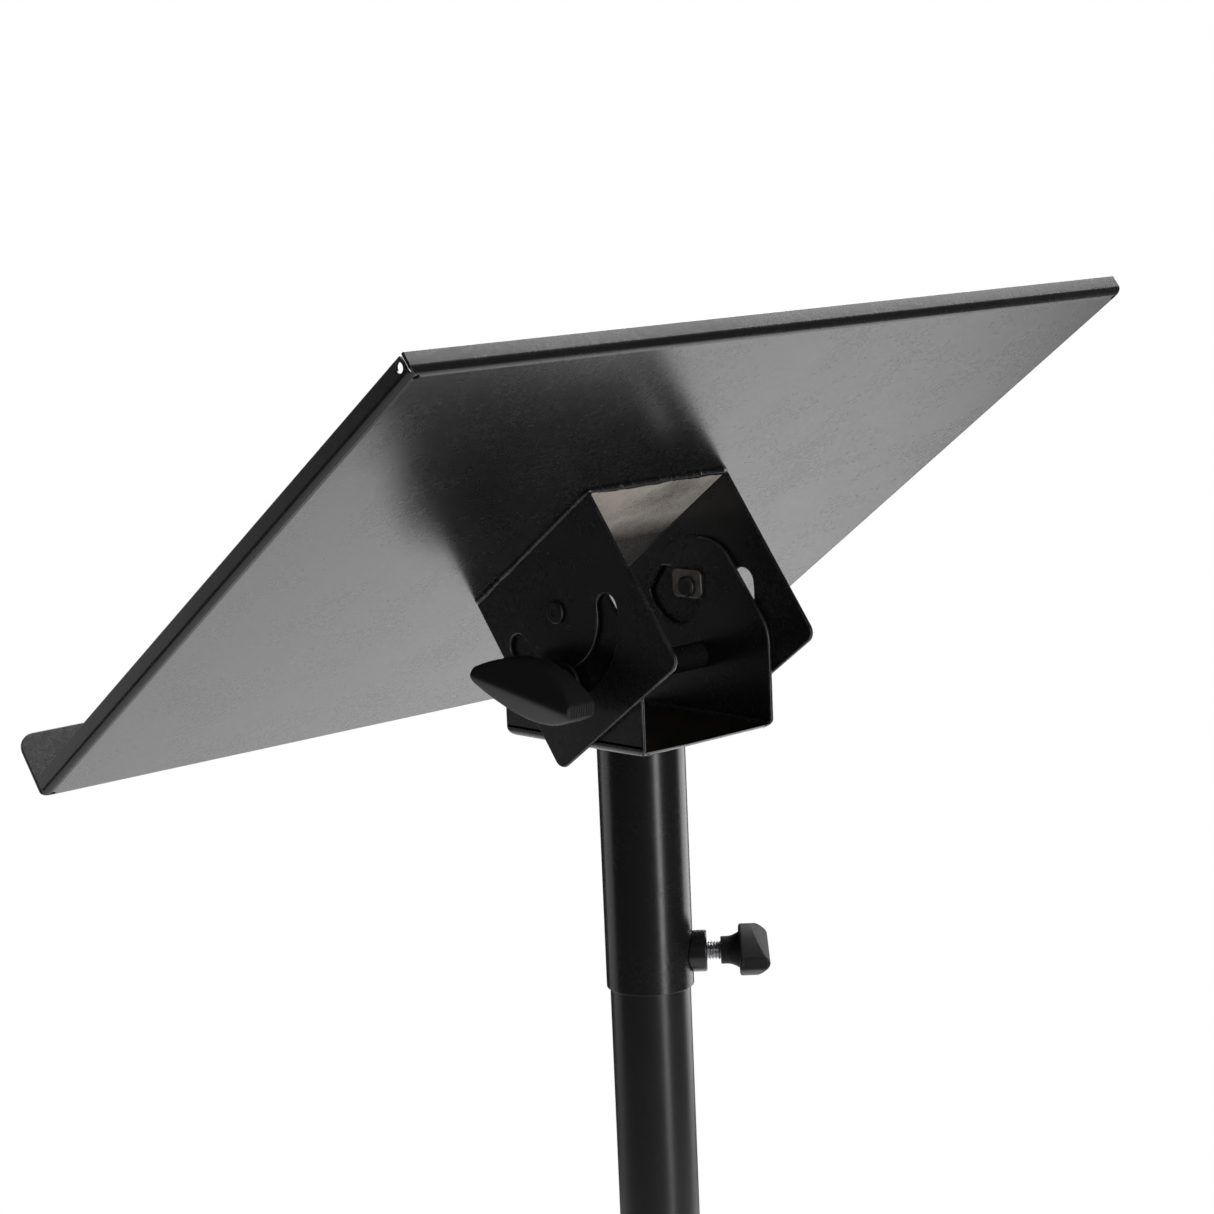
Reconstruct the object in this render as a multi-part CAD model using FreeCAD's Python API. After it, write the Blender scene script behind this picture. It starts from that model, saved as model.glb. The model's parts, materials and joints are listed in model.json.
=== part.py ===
"""Music stand with a folded sheet tray, a tilting head and a folding tripod base.

Millimetres. The origin is on the floor, on the axis of the tubes. +X is to the reader's right,
+Y points away from the reader and +Z is up. The tray stands at its usual reading tilt, the legs
are open and the pole is part way out of the main tube.
"""
import FreeCAD, Part
import math
import os

Vector = FreeCAD.Vector
X_AXIS = Vector(1, 0, 0)
Y_AXIS = Vector(0, 1, 0)
Z_AXIS = Vector(0, 0, 1)
ORIGIN = Vector(0, 0, 0)

# ---------------------------------------------------------------- gaps and fits
BODY_GAP = 0.3          # between pieces that move past each other
PIN_CLEARANCE = 0.05    # radial, between a pin or screw and the hole it turns in
SLIDE_GAP = 0.25        # radial, between a sliding sleeve and its tube
SMALL_STEP = 1.0        # how far cutting tools run past the faces that they cut
SAME_PLACE = 1e-6       # closer than this, two places count as one
NEARLY_ALONG = 0.9      # share of an edge that must run along an axis to count as along it

# ---------------------------------------------------------------- tray
TRAY_WIDTH = 408.0
TRAY_ABOVE_PIVOT = 158.0    # from the pivot up the slope to the top edge
TRAY_BELOW_PIVOT = 159.0    # from the pivot down the slope to the bottom edge
TRAY_SHEET = 1.5
TRAY_RIM = 9.1              # rim height over the underside of the panel
TRAY_LEDGE = 30.0           # ledge height over the underside of the panel
TRAY_BEND = 3.5             # outer bend radius
TRAY_LIFT = 30.0            # from the pivot axis to the underside of the panel
TRAY_TILT = 36.0            # panel's rest angle from horizontal, degrees
LEDGE_CORNER = 8.0
CORNER_SLIT = 1.2
CORNER_RELIEF_R = 1.3
DRAIN_HOLE_R = 2.0
DRAIN_HOLE_INSET = 5.5      # from the top edge down the slope
DRAIN_HOLE_HEIGHT = 5.9     # over the underside of the panel

# ---------------------------------------------------------------- head: yoke and tray bracket
BEND_SHEET = 2.0
YOKE_WIDTH = 78.4
YOKE_DEPTH = 84.0
YOKE_FLOOR_DROP = 57.4      # from the pivot axis to the underside of the yoke
YOKE_CROWN = 22.3           # from the pivot axis to the top of the yoke's ears
YOKE_CROWN_WIDTH = 28.0     # width of the ears' flat top before rounding
YOKE_SHOULDER_DROP = 14.5   # from the pivot axis to the shoulder corners before rounding
YOKE_EAR_ROUND = 20.0
YOKE_FOOT_ROUND = 4.0
YOKE_BEND = 3.5
PIVOT_OFFSET = 4.3          # the pivot axis is this far towards the reader from the tube axis
PIVOT_HEIGHT = 980.0        # over the floor, with the pole part way out
BRACKET_ABOVE_PIVOT = 48.0
BRACKET_BELOW_PIVOT = 41.8
BRACKET_CHEEK_DROP = 54.2   # from the pivot axis to the free edge of the cheeks
BRACKET_CORNER = 5.0
BRACKET_BEND = 2.6
WELD_LEG = 2.4
PIVOT_PIN_R = 3.0
PIVOT_HEAD_RIM = 1.9        # how far the rivet's head stands out past its shank
PIVOT_HEAD_HEIGHT = 1.5
PIVOT_HEAD_ROUND = 0.9
PIVOT_HEAD_DIMPLE_R = 1.8
PIVOT_HEAD_DIMPLE = 0.6
PIVOT_TAIL_RIM = 1.7
PIVOT_TAIL_LENGTH = 2.0
BACKING_LENGTH = 17.4
BACKING_HEIGHT = 12.5
BACKING_RISE = 1.5         # from the pivot axis up to the middle of the plate
BACKING_SHEET = 1.5
BACKING_CORNER = 3.0
PIVOT_WINDOW_R = 17.0       # opening in each ear, beside and below the pivot
PIVOT_WINDOW_SHIFT = 8.2    # from the pivot axis towards the reader to the opening's centre
PIVOT_WINDOW_RISE = 8.0     # from the pivot axis up to the opening's top
PIVOT_WINDOW_WEB = 3.5      # steel left between the opening and the ear's edge
PIVOT_WINDOW_CORNER = 1.5
PIVOT_TONGUE_REACH = 10.0   # from the pivot axis to the sides of the tongue that carries it
PIVOT_TONGUE_DROP = 5.0     # from the pivot axis down to the tongue's end

# ---------------------------------------------------------------- tilt clamp
CLAMP_DROP = 30.0           # from the pivot axis down to the clamp bolt
CLAMP_BOLT_R = 4.0
CLAMP_HEAD_ACROSS = 13.0    # across the flats of the hexagon head
CLAMP_HEAD_HEIGHT = 5.3
CLAMP_WASHER_SHEET = 1.6
CLAMP_WASHER_LAP = 3.0      # how far the washers reach past the slot's edges
SPACER_WALL = 1.45
SPACER_CLEARANCE = 0.3      # radial, round the bolt
SLOT_CLEARANCE = 2.0        # radial, between the bolt and the slot's edges
SLOT_FIRST_ANGLE = -90.0    # slot ends, from the line square to the tray, degrees
SLOT_LAST_ANGLE = 62.0

# ---------------------------------------------------------------- wing knobs
WING_LENGTH = 60.0
WING_HEIGHT = 25.0
WING_END_HEIGHT = 6.0
WING_DEPTH = 16.0           # from the back of the wings to the ridge
WING_RIDGE = 7.5            # how far the ridge stands out from the wings' edges
STEM_LENGTH = 10.0
STEM_WALL = 1.2             # moulded wall round the metal insert
STEM_FLARE = 2.7            # how much wider the stem is where the wings start
INSERT_WALL = 1.6
KNOB_TURN = -10.0           # how the tightened tilt knob happens to stand, degrees
RIB_COUNT = 9
RIB_PITCH = 1.5
RIB_WIDTH = 0.6
RIB_DEPTH = 0.35

# ---------------------------------------------------------------- socket tube
SOCKET_WALL = 1.2
SOCKET_LENGTH = 112.0
SOCKET_SCREW_DROP = 98.0    # from the underside of the yoke to the socket screw
SOCKET_SCREW_AZIMUTH = 135.0
BOSS_WALL = 5.0
BOSS_LENGTH = 6.0
SCREW_R = 4.0
SCREW_FLANGE = 0.8          # how far the moulded-in end stands out past the screw
SCREW_FLANGE_LENGTH = 6.5
SCREW_GRIP_GAP = 6.0        # from the boss face to the knob's stem
SMALL_WING_SCALE = 0.8      # side knobs are this much smaller than the tilt knob

# ---------------------------------------------------------------- pole and main tube
POLE_R = 17.5
POLE_WALL = 1.5
POLE_IN_SOCKET = 96.0
POLE_LENGTH = 640.0
POLE_PLUG_LENGTH = 14.0
POLE_PLUG_FLANGE = 2.0
BUSH_LENGTH = 30.0
BUSH_FLANGE = 3.0
BUSH_SPIGOT = 20.0
MAIN_TUBE_WALL = 1.5
TUBE_GAP = 1.0              # radial, between the pole and the main tube
MAIN_TUBE_BOTTOM = 34.0
MAIN_TUBE_TOP = 640.0
TUBE_PLUG_LENGTH = 16.0
TUBE_PLUG_FLANGE = 3.0

# ---------------------------------------------------------------- height clamp
HEIGHT_COLLAR_WALL = 6.0
HEIGHT_COLLAR_BELOW = 36.0      # overlap on the main tube
HEIGHT_COLLAR_ABOVE = 16.0      # above the main tube
HEIGHT_COLLAR_ROUND = 3.0
HEIGHT_LINER_WALL = 1.0
HEIGHT_SCREW_AZIMUTH = 30.0
COLLAR_BOSS_WALL = 7.0
COLLAR_BOSS_LENGTH = 8.0        # from the collar's surface to the boss face
COLLAR_RIVET_R = 2.4
COLLAR_RIVET_HEAD_R = 4.0
COLLAR_RIVET_HEAD = 1.4
COLLAR_RIVET_DROP = 27.0        # from the top of the main tube down to the rivets

# ---------------------------------------------------------------- tripod
LEG_AZIMUTHS = (90.0, 210.0, 330.0)
LEG_OPEN_ANGLE = 50.0       # from vertical, legs open
LEG_FOLDED_ANGLE = 8.0      # from vertical, legs folded
LEG_LENGTH = 360.0          # from the top pin to the end of the tube
BRACE_LENGTH = 140.0        # between its two pins, and from the leg's top pin to its brace pin
KNUCKLE_CLEARANCE = 2.0     # between a leg's round end and the leg collar
LEG_HEIGHT = 20.0           # section, across the fold
LEG_WIDTH = 15.0            # section, along the pins
LEG_WALL = 1.5
LEG_CORNER = 2.5
LEG_TUBE_START = 14.0       # from the top pin to the start of the tube
LEG_FOOT_HEIGHT = 12.5      # height of the tube's end over the floor
KNUCKLE_PLUG = 22.0
PIN_R = 3.0
PIN_HEAD_R = 5.0
PIN_HEAD = 1.6
BRACE_WIDTH = 18.0
BRACE_SHEET = 3.0
BRACE_END_ROUND = 8.9       # just under half the width, so the ends are nearly round
FOOT_WALL = 3.0
FOOT_SLEEVE = 34.0
FOOT_TOE = 9.0
LEG_COLLAR_WALL = 5.75
LEG_COLLAR_BELOW = 22.0     # below the top pins
LEG_COLLAR_ABOVE = 34.0     # above the top pins
LUG_SHEET = 4.5
LUG_MARGIN = 6.5            # wall around the pin
LUG_ROUND = 8.5             # rounding of a lug's nose
COLLAR_SCREW_AZIMUTH = 30.0
COLLAR_SCREW_RISE = 8.0     # over the top pins
STOP_RING_HEIGHT = 8.0
STOP_RING_WALL = 3.5
HUB_WALL = 6.0
HUB_BELOW = 24.0            # below the hub pins
HUB_ABOVE = 22.0            # above the hub pins
HUB_ROUND = 2.0
HUB_SCREW_R = 2.5
HUB_SCREW_HEAD_R = 4.5
HUB_SCREW_HEAD = 2.5
HUB_SCREW_DROP = 12.0       # below the hub pins
CAP_ROUND_SHARE = 0.6       # share of a low head's height that is rounded

# ---------------------------------------------------------------- worked-out sizes
BRACKET_WIDTH = YOKE_WIDTH + 2 * (BODY_GAP + BEND_SHEET)
BRACKET_FACE = BRACKET_WIDTH / 2
YOKE_FACE = YOKE_WIDTH / 2
CLAMP_FACE = BRACKET_FACE + BODY_GAP + CLAMP_WASHER_SHEET
TRAY_TOP_EDGE = TRAY_ABOVE_PIVOT
TRAY_BOTTOM_EDGE = -TRAY_BELOW_PIVOT
CLAMP_RADIUS = math.hypot(PIVOT_OFFSET, CLAMP_DROP)
SLOT_WIDTH = 2 * (CLAMP_BOLT_R + SLOT_CLEARANCE)
INSERT_R = CLAMP_BOLT_R + INSERT_WALL
SOCKET_R = POLE_R + BODY_GAP + SOCKET_WALL
MAIN_TUBE_R = POLE_R + TUBE_GAP + MAIN_TUBE_WALL
HEIGHT_COLLAR_R = MAIN_TUBE_R + HEIGHT_COLLAR_WALL
HEIGHT_SCREW_HEIGHT = MAIN_TUBE_TOP - HEIGHT_COLLAR_BELOW / 2
COLLAR_RIVET_HEIGHT = MAIN_TUBE_TOP - COLLAR_RIVET_DROP
COLLAR_RIVET_AZIMUTHS = (HEIGHT_SCREW_AZIMUTH + 90, HEIGHT_SCREW_AZIMUTH - 90)
LINER_R = POLE_R + SLIDE_GAP + HEIGHT_LINER_WALL
COLLAR_BOSS_R = SCREW_R + COLLAR_BOSS_WALL
LEG_COLLAR_R = MAIN_TUBE_R + SLIDE_GAP + LEG_COLLAR_WALL
LEG_PIN_RADIUS = LEG_COLLAR_R + KNUCKLE_CLEARANCE + LEG_HEIGHT / 2
HUB_R = MAIN_TUBE_R + HUB_WALL
HUB_SCREW_AZIMUTHS = [azimuth + 60 for azimuth in LEG_AZIMUTHS]
YOKE_UNDERSIDE = PIVOT_HEIGHT - YOKE_FLOOR_DROP
SOCKET_BOTTOM = YOKE_UNDERSIDE - SOCKET_LENGTH
SOCKET_SCREW_HEIGHT = YOKE_UNDERSIDE - SOCKET_SCREW_DROP
POLE_TOP = SOCKET_BOTTOM + POLE_IN_SOCKET
POLE_BOTTOM = POLE_TOP - POLE_LENGTH
OPEN = math.radians(LEG_OPEN_ANGLE)
FOLDED = math.radians(LEG_FOLDED_ANGLE)
LEG_PIN_HEIGHT = LEG_FOOT_HEIGHT + LEG_LENGTH * math.cos(OPEN)
HUB_PIN_HEIGHT = LEG_PIN_HEIGHT - 2 * BRACE_LENGTH * math.cos(OPEN)
COLLAR_TRAVEL = 2 * BRACE_LENGTH * (math.cos(FOLDED) - math.cos(OPEN))
PIN_RISE = 2 * BRACE_LENGTH * math.cos((OPEN + FOLDED) / 2) * (1 - math.cos((OPEN - FOLDED) / 2))
STRAP_FACE = LEG_WIDTH / 2 + BODY_GAP
STRAP_OUTER = STRAP_FACE + BRACE_SHEET

PIECES = {}


def keep(name, *solids):
    """Store a node made of one solid, or of several separate solids."""
    PIECES[name] = solids[0] if len(solids) == 1 else Part.makeCompound(list(solids))


# ---------------------------------------------------------------- general shapes
def box(low, high):
    """Box between two corners given as (x, y, z)."""
    size = [b - a for a, b in zip(low, high)]
    return Part.makeBox(size[0], size[1], size[2], Vector(*low))


def rod(radius, start, end):
    """Cylinder between two points."""
    along = end.sub(start)
    return Part.makeCylinder(radius, along.Length, start, along)


def ring(outer, inner, start, end):
    """Tube between two points."""
    along = end.sub(start)
    reach = Vector(along).normalize().multiply(SMALL_STEP)
    return rod(outer, start, end).cut(rod(inner, start.sub(reach), end.add(reach)))


def rounded_face(corners, radii):
    """Face in the XY plane from corner points, each corner rounded by its radius."""
    count = len(corners)
    starts = []
    edges = []
    arcs = []
    for index, corner in enumerate(corners):
        point = Vector(corner[0], corner[1], 0)
        before = Vector(*corners[index - 1], 0).sub(point)
        after = Vector(*corners[(index + 1) % count], 0).sub(point)
        before.normalize()
        after.normalize()
        half = before.getAngle(after) / 2
        radius = radii[index]
        if radius <= 0:
            starts.append((point, point))
            continue
        run = radius / math.tan(half)
        middle = before.add(after)
        middle.normalize()
        centre = point.add(middle.multiply(radius / math.sin(half)))
        first = point.add(Vector(before).multiply(run))
        last = point.add(Vector(after).multiply(run))
        inward = point.sub(centre).normalize().multiply(radius)
        arcs.append(Part.Arc(first, centre.add(inward), last).toShape())
        starts.append((first, last))
    for index in range(count):
        here = starts[index][1]
        there = starts[(index + 1) % count][0]
        if here.distanceToPoint(there) > SAME_PLACE:
            edges.append(Part.LineSegment(here, there).toShape())
    wire = Part.Wire(Part.__sortEdges__(edges + arcs))
    return Part.Face(wire)


def plate_along_x(corners, radii, x_low, x_high):
    """Plate whose outline is given as (y, z) points, between two X values."""
    face = rounded_face(corners, radii)
    face.rotate(ORIGIN, Vector(1, 1, 1), 120)
    face.translate(Vector(x_low, 0, 0))
    return face.extrude(Vector(x_high - x_low, 0, 0))


def hexagon_along_x(across, x_low, x_high):
    """Hexagonal prism on the X axis, given its size across the flats."""
    reach = across / math.sqrt(3)
    corners = [(reach * math.cos(math.radians(60 * k)), reach * math.sin(math.radians(60 * k)))
               for k in range(6)]
    return plate_along_x(corners, [0] * 6, x_low, x_high)


def edges_where(shape, test):
    """The edges of a shape whose centre and direction pass a test."""
    chosen = []
    for edge in shape.Edges:
        if edge.Curve.TypeId != "Part::GeomLine":
            continue
        if test(edge.CenterOfMass, edge.tangentAt(edge.FirstParameter)):
            chosen.append(edge)
    return chosen


def channel(low, high, open_side, wall, bend):
    """U channel open along Y: a block hollowed from one side, with bent long edges.

    open_side is +1 when the channel opens upwards and -1 when it opens downwards.
    """
    closed_z = low[2] if open_side > 0 else high[2]
    outer = box(low, high)
    outer = outer.makeFillet(bend, edges_where(
        outer, lambda c, d: abs(c.z - closed_z) < SAME_PLACE and abs(d.y) > NEARLY_ALONG))
    inner_low = [low[0] + wall, low[1] - SMALL_STEP, low[2] + wall]
    inner_high = [high[0] - wall, high[1] + SMALL_STEP, high[2] - wall]
    if open_side > 0:
        inner_high[2] = high[2] + SMALL_STEP
    else:
        inner_low[2] = low[2] - SMALL_STEP
    inner = box(inner_low, inner_high)
    inner_z = inner_low[2] if open_side > 0 else inner_high[2]
    inner = inner.makeFillet(bend - wall, edges_where(
        inner, lambda c, d: abs(c.z - inner_z) < SAME_PLACE and abs(d.y) > NEARLY_ALONG))
    return outer.cut(inner)


def mirrored_in_x(shape):
    """The same shape on the other side of the YZ plane."""
    return shape.mirror(ORIGIN, X_AXIS)


def at_azimuth(shape, azimuth, height=0.0):
    """Turn a shape built along +X about the tube axis, and lift it."""
    turned = shape.copy()
    turned.rotate(ORIGIN, Z_AXIS, azimuth)
    turned.translate(Vector(0, 0, height))
    return turned


# ---------------------------------------------------------------- placing the head's pieces
def on_pivot(shape):
    """Lift a shape built about the pivot axis to the pivot's place."""
    placed = shape.copy()
    placed.translate(Vector(0, -PIVOT_OFFSET, PIVOT_HEIGHT))
    return placed


def on_tray(shape):
    """Tilt a shape built with the panel level, then put it on the pivot."""
    tilted = shape.copy()
    tilted.rotate(ORIGIN, X_AXIS, TRAY_TILT)
    return on_pivot(tilted)


# ---------------------------------------------------------------- tray
def tray_pan():
    """Shallow folded pan: panel, low rim on three sides and a ledge along the bottom."""
    half = TRAY_WIDTH / 2
    low = (-half, TRAY_BOTTOM_EDGE, TRAY_LIFT)
    high = (half, TRAY_TOP_EDGE, TRAY_LIFT + TRAY_LEDGE)
    outer = box(low, high)
    outer = outer.makeFillet(TRAY_BEND, edges_where(
        outer, lambda c, d: abs(c.z - TRAY_LIFT) < SAME_PLACE))
    inside = TRAY_LIFT + TRAY_SHEET
    inner = box((-half + TRAY_SHEET, TRAY_BOTTOM_EDGE + TRAY_SHEET, inside),
                (half - TRAY_SHEET, TRAY_TOP_EDGE - TRAY_SHEET, high[2] + SMALL_STEP))
    inner = inner.makeFillet(TRAY_BEND - TRAY_SHEET, edges_where(
        inner, lambda c, d: abs(c.z - inside) < SAME_PLACE))
    pan = outer.cut(inner)
    above_rim = box((-half - SMALL_STEP, TRAY_BOTTOM_EDGE + TRAY_SHEET, TRAY_LIFT + TRAY_RIM),
                    (half + SMALL_STEP, TRAY_TOP_EDGE + SMALL_STEP, high[2] + SMALL_STEP))
    pan = pan.cut(above_rim)
    pan = pan.makeFillet(LEDGE_CORNER, edges_where(
        pan, lambda c, d: abs(abs(c.x) - half) < SAME_PLACE and abs(c.z - high[2]) < SAME_PLACE
        and abs(d.y) > NEARLY_ALONG))
    for side in (-1, 1):
        for edge, inward in ((TRAY_TOP_EDGE, -1), (TRAY_BOTTOM_EDGE, 1)):
            near = edge + inward * TRAY_SHEET
            far = near + inward * CORNER_SLIT
            slit = box((min(side * (half - TRAY_BEND), side * (half + SMALL_STEP)), min(near, far),
                        TRAY_LIFT + TRAY_SHEET),
                       (max(side * (half - TRAY_BEND), side * (half + SMALL_STEP)), max(near, far),
                        high[2] + SMALL_STEP))
            pan = pan.cut(slit)
            relief = Vector(side * (half - TRAY_BEND), edge + inward * TRAY_BEND, 0)
            pan = pan.cut(rod(CORNER_RELIEF_R, relief,
                              relief.add(Vector(0, 0, TRAY_LIFT + TRAY_RIM))))
        drain = Vector(side * half, TRAY_TOP_EDGE - DRAIN_HOLE_INSET, TRAY_LIFT + DRAIN_HOLE_HEIGHT)
        across = Vector(side * (TRAY_SHEET + SMALL_STEP), 0, 0)
        pan = pan.cut(rod(DRAIN_HOLE_R, drain.sub(across), drain.add(across)))
    return pan


def arc_slot(x_low, x_high):
    """Tool for the arc slot that the clamp bolt passes as the tray tilts."""
    half_width = SLOT_WIDTH / 2
    thick = x_high - x_low
    sweep = SLOT_LAST_ANGLE - SLOT_FIRST_ANGLE
    band = Part.makeCylinder(CLAMP_RADIUS + half_width, thick, ORIGIN, Z_AXIS, sweep)
    band = band.cut(Part.makeCylinder(CLAMP_RADIUS - half_width, thick, ORIGIN, Z_AXIS))
    for angle in (0.0, sweep):
        turn = math.radians(angle)
        end = Vector(CLAMP_RADIUS * math.cos(turn), CLAMP_RADIUS * math.sin(turn), 0)
        band = band.fuse(Part.makeCylinder(half_width, thick, end, Z_AXIS))
    band.rotate(ORIGIN, Z_AXIS, SLOT_FIRST_ANGLE - 90)
    band.rotate(ORIGIN, Vector(1, 1, 1), 120)
    band.translate(Vector(x_low, 0, 0))
    return band


def tray_bracket():
    """Channel welded under the tray, its two cheeks hanging down past the yoke's ears."""
    low = (-BRACKET_FACE, -BRACKET_BELOW_PIVOT, -BRACKET_CHEEK_DROP)
    high = (BRACKET_FACE, BRACKET_ABOVE_PIVOT, TRAY_LIFT)
    body = channel(low, high, -1, BEND_SHEET, BRACKET_BEND)
    outline = [(low[1], high[2]), (low[1], low[2]), (high[1], low[2]), (high[1], high[2])]
    body = body.common(plate_along_x(outline, [0, BRACKET_CORNER, BRACKET_CORNER, 0],
                                     -BRACKET_FACE, BRACKET_FACE))
    reach = BRACKET_FACE + SMALL_STEP
    body = body.cut(arc_slot(-reach, reach))
    return body.cut(rod(PIVOT_PIN_R + PIN_CLEARANCE, Vector(-reach, 0, 0), Vector(reach, 0, 0)))


def bracket_weld_beads(bracket):
    """Fillet welds along both long edges and the top end of the bracket, against the panel."""
    beads = []
    for side in (-1, 1):
        section = Part.makePolygon([
            Vector(side * (BRACKET_FACE - BRACKET_BEND), -BRACKET_BELOW_PIVOT, TRAY_LIFT),
            Vector(side * (BRACKET_FACE + WELD_LEG), -BRACKET_BELOW_PIVOT, TRAY_LIFT),
            Vector(side * BRACKET_FACE, -BRACKET_BELOW_PIVOT,
                   TRAY_LIFT - BRACKET_BEND - WELD_LEG / 2),
            Vector(side * (BRACKET_FACE - BRACKET_BEND), -BRACKET_BELOW_PIVOT, TRAY_LIFT)])
        run = Vector(0, BRACKET_ABOVE_PIVOT + BRACKET_BELOW_PIVOT, 0)
        bead = Part.Face(section).extrude(run).cut(bracket)
        beads.append(max(bead.Solids, key=lambda solid: solid.Volume))
    reach = BRACKET_FACE - BRACKET_BEND
    section = Part.makePolygon([
        Vector(-reach, BRACKET_ABOVE_PIVOT, TRAY_LIFT),
        Vector(-reach, BRACKET_ABOVE_PIVOT + WELD_LEG, TRAY_LIFT),
        Vector(-reach, BRACKET_ABOVE_PIVOT, TRAY_LIFT - WELD_LEG),
        Vector(-reach, BRACKET_ABOVE_PIVOT, TRAY_LIFT)])
    beads.append(Part.Face(section).extrude(Vector(2 * reach, 0, 0)))
    return beads


# ---------------------------------------------------------------- head
def pivot_window(ear, x_low, x_high):
    """Tool for the opening beside and below the pivot, which leaves a tongue round the pivot."""
    thick = x_high - x_low
    inside = ear.makeOffset2D(-PIVOT_WINDOW_WEB)
    inside = inside.extrude(Vector(0, 0, thick))
    window = Part.makeCylinder(PIVOT_WINDOW_R, thick, Vector(-PIVOT_WINDOW_SHIFT, 0, 0))
    window = window.common(inside)
    reach = 2 * PIVOT_WINDOW_R
    window = window.cut(box((-reach, PIVOT_WINDOW_RISE, -SMALL_STEP),
                            (reach, reach, thick + SMALL_STEP)))
    window = window.cut(box((-PIVOT_TONGUE_REACH, -PIVOT_TONGUE_DROP, -SMALL_STEP),
                            (reach, reach, thick + SMALL_STEP)))
    window = window.makeFillet(PIVOT_WINDOW_CORNER, edges_where(
        window, lambda c, d: abs(d.z) > NEARLY_ALONG))
    window.rotate(ORIGIN, Vector(1, 1, 1), 120)
    window.translate(Vector(x_low, 0, 0))
    return window


def yoke():
    """Channel that opens upwards, with rounded ears that carry the pivot and the clamp bolt."""
    half_depth = YOKE_DEPTH / 2
    middle = PIVOT_OFFSET
    low = (-YOKE_FACE, middle - half_depth, -YOKE_FLOOR_DROP)
    high = (YOKE_FACE, middle + half_depth, YOKE_CROWN)
    body = channel(low, high, 1, BEND_SHEET, YOKE_BEND)
    crown = YOKE_CROWN_WIDTH / 2
    outline = [(low[1], low[2]), (high[1], low[2]), (high[1], -YOKE_SHOULDER_DROP),
               (middle + crown, high[2]), (middle - crown, high[2]), (low[1], -YOKE_SHOULDER_DROP)]
    rounds = [YOKE_FOOT_ROUND, YOKE_FOOT_ROUND] + [YOKE_EAR_ROUND] * 4
    body = body.common(plate_along_x(outline, rounds, -YOKE_FACE, YOKE_FACE))
    reach = YOKE_FACE + SMALL_STEP
    body = body.cut(pivot_window(rounded_face(outline, rounds), -reach, reach))
    body = body.cut(rod(PIVOT_PIN_R, Vector(-reach, 0, 0), Vector(reach, 0, 0)))
    clamp = Vector(0, PIVOT_OFFSET, -CLAMP_DROP)
    along = Vector(reach, 0, 0)
    return body.cut(rod(CLAMP_BOLT_R, clamp.sub(along), clamp.add(along)))


def pivot_rivet():
    """Rivet on the +X side: head outside the bracket, tail inside the yoke."""
    head_seat = BRACKET_FACE + BODY_GAP
    tail_seat = YOKE_FACE - BEND_SHEET - BACKING_SHEET
    top = head_seat + PIVOT_HEAD_HEIGHT
    tip = tail_seat - PIVOT_TAIL_LENGTH
    shank = rod(PIVOT_PIN_R, Vector(tail_seat - SMALL_STEP, 0, 0),
                Vector(head_seat + SMALL_STEP, 0, 0))
    head = rod(PIVOT_PIN_R + PIVOT_HEAD_RIM, Vector(head_seat, 0, 0), Vector(top, 0, 0))
    rim = [edge for edge in head.Edges if abs(edge.CenterOfMass.x - top) < SAME_PLACE]
    head = head.makeFillet(PIVOT_HEAD_ROUND, rim)
    dimple = rod(PIVOT_HEAD_DIMPLE_R, Vector(top - PIVOT_HEAD_DIMPLE, 0, 0),
                 Vector(top + SMALL_STEP, 0, 0))
    tail = rod(PIVOT_PIN_R + PIVOT_TAIL_RIM, Vector(tip, 0, 0), Vector(tail_seat, 0, 0))
    rim = [edge for edge in tail.Edges if abs(edge.CenterOfMass.x - tip) < SAME_PLACE]
    tail = tail.makeChamfer(SMALL_STEP, rim)
    return shank.fuse(head.cut(dimple)).fuse(tail).removeSplitter()


def backing_plate():
    """Small plate under the rivet's tail, inside the yoke on the +X side."""
    length = BACKING_LENGTH / 2
    height = BACKING_HEIGHT / 2
    outer = YOKE_FACE - BEND_SHEET
    low = BACKING_RISE - height
    high = BACKING_RISE + height
    corners = [(-length, low), (length, low), (length, high), (-length, high)]
    plate = plate_along_x(corners, [BACKING_CORNER] * 4, outer - BACKING_SHEET, outer)
    return plate.cut(rod(PIVOT_PIN_R, Vector(outer - 2 * BACKING_SHEET, 0, 0),
                         Vector(outer + SMALL_STEP, 0, 0)))


def on_clamp(shape):
    """Move a shape built on the X axis to the clamp bolt's axis."""
    placed = shape.copy()
    placed.translate(Vector(0, 0, PIVOT_HEIGHT - CLAMP_DROP))
    return placed


def clamp_bolt():
    """Long bolt: head on the far side, thread in the tilt knob."""
    head_seat = -CLAMP_FACE
    tip = CLAMP_FACE + STEM_LENGTH
    shank = rod(CLAMP_BOLT_R, Vector(head_seat - SMALL_STEP, 0, 0), Vector(tip, 0, 0))
    return shank.fuse(hexagon_along_x(CLAMP_HEAD_ACROSS, head_seat - CLAMP_HEAD_HEIGHT, head_seat))


def clamp_washers():
    """Washers between the bracket's cheeks and the knob or the bolt head."""
    inner = Vector(BRACKET_FACE + BODY_GAP, 0, 0)
    outer = Vector(CLAMP_FACE, 0, 0)
    washer = ring(SLOT_WIDTH / 2 + CLAMP_WASHER_LAP, CLAMP_BOLT_R + PIN_CLEARANCE, inner, outer)
    return [washer, mirrored_in_x(washer)]


def spacer_tube():
    """Tube on the clamp bolt that keeps the yoke's ears apart."""
    face = Vector(YOKE_FACE - BEND_SHEET, 0, 0)
    bore = CLAMP_BOLT_R + SPACER_CLEARANCE
    return ring(bore + SPACER_WALL, bore, face.negative(), face)


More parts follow.
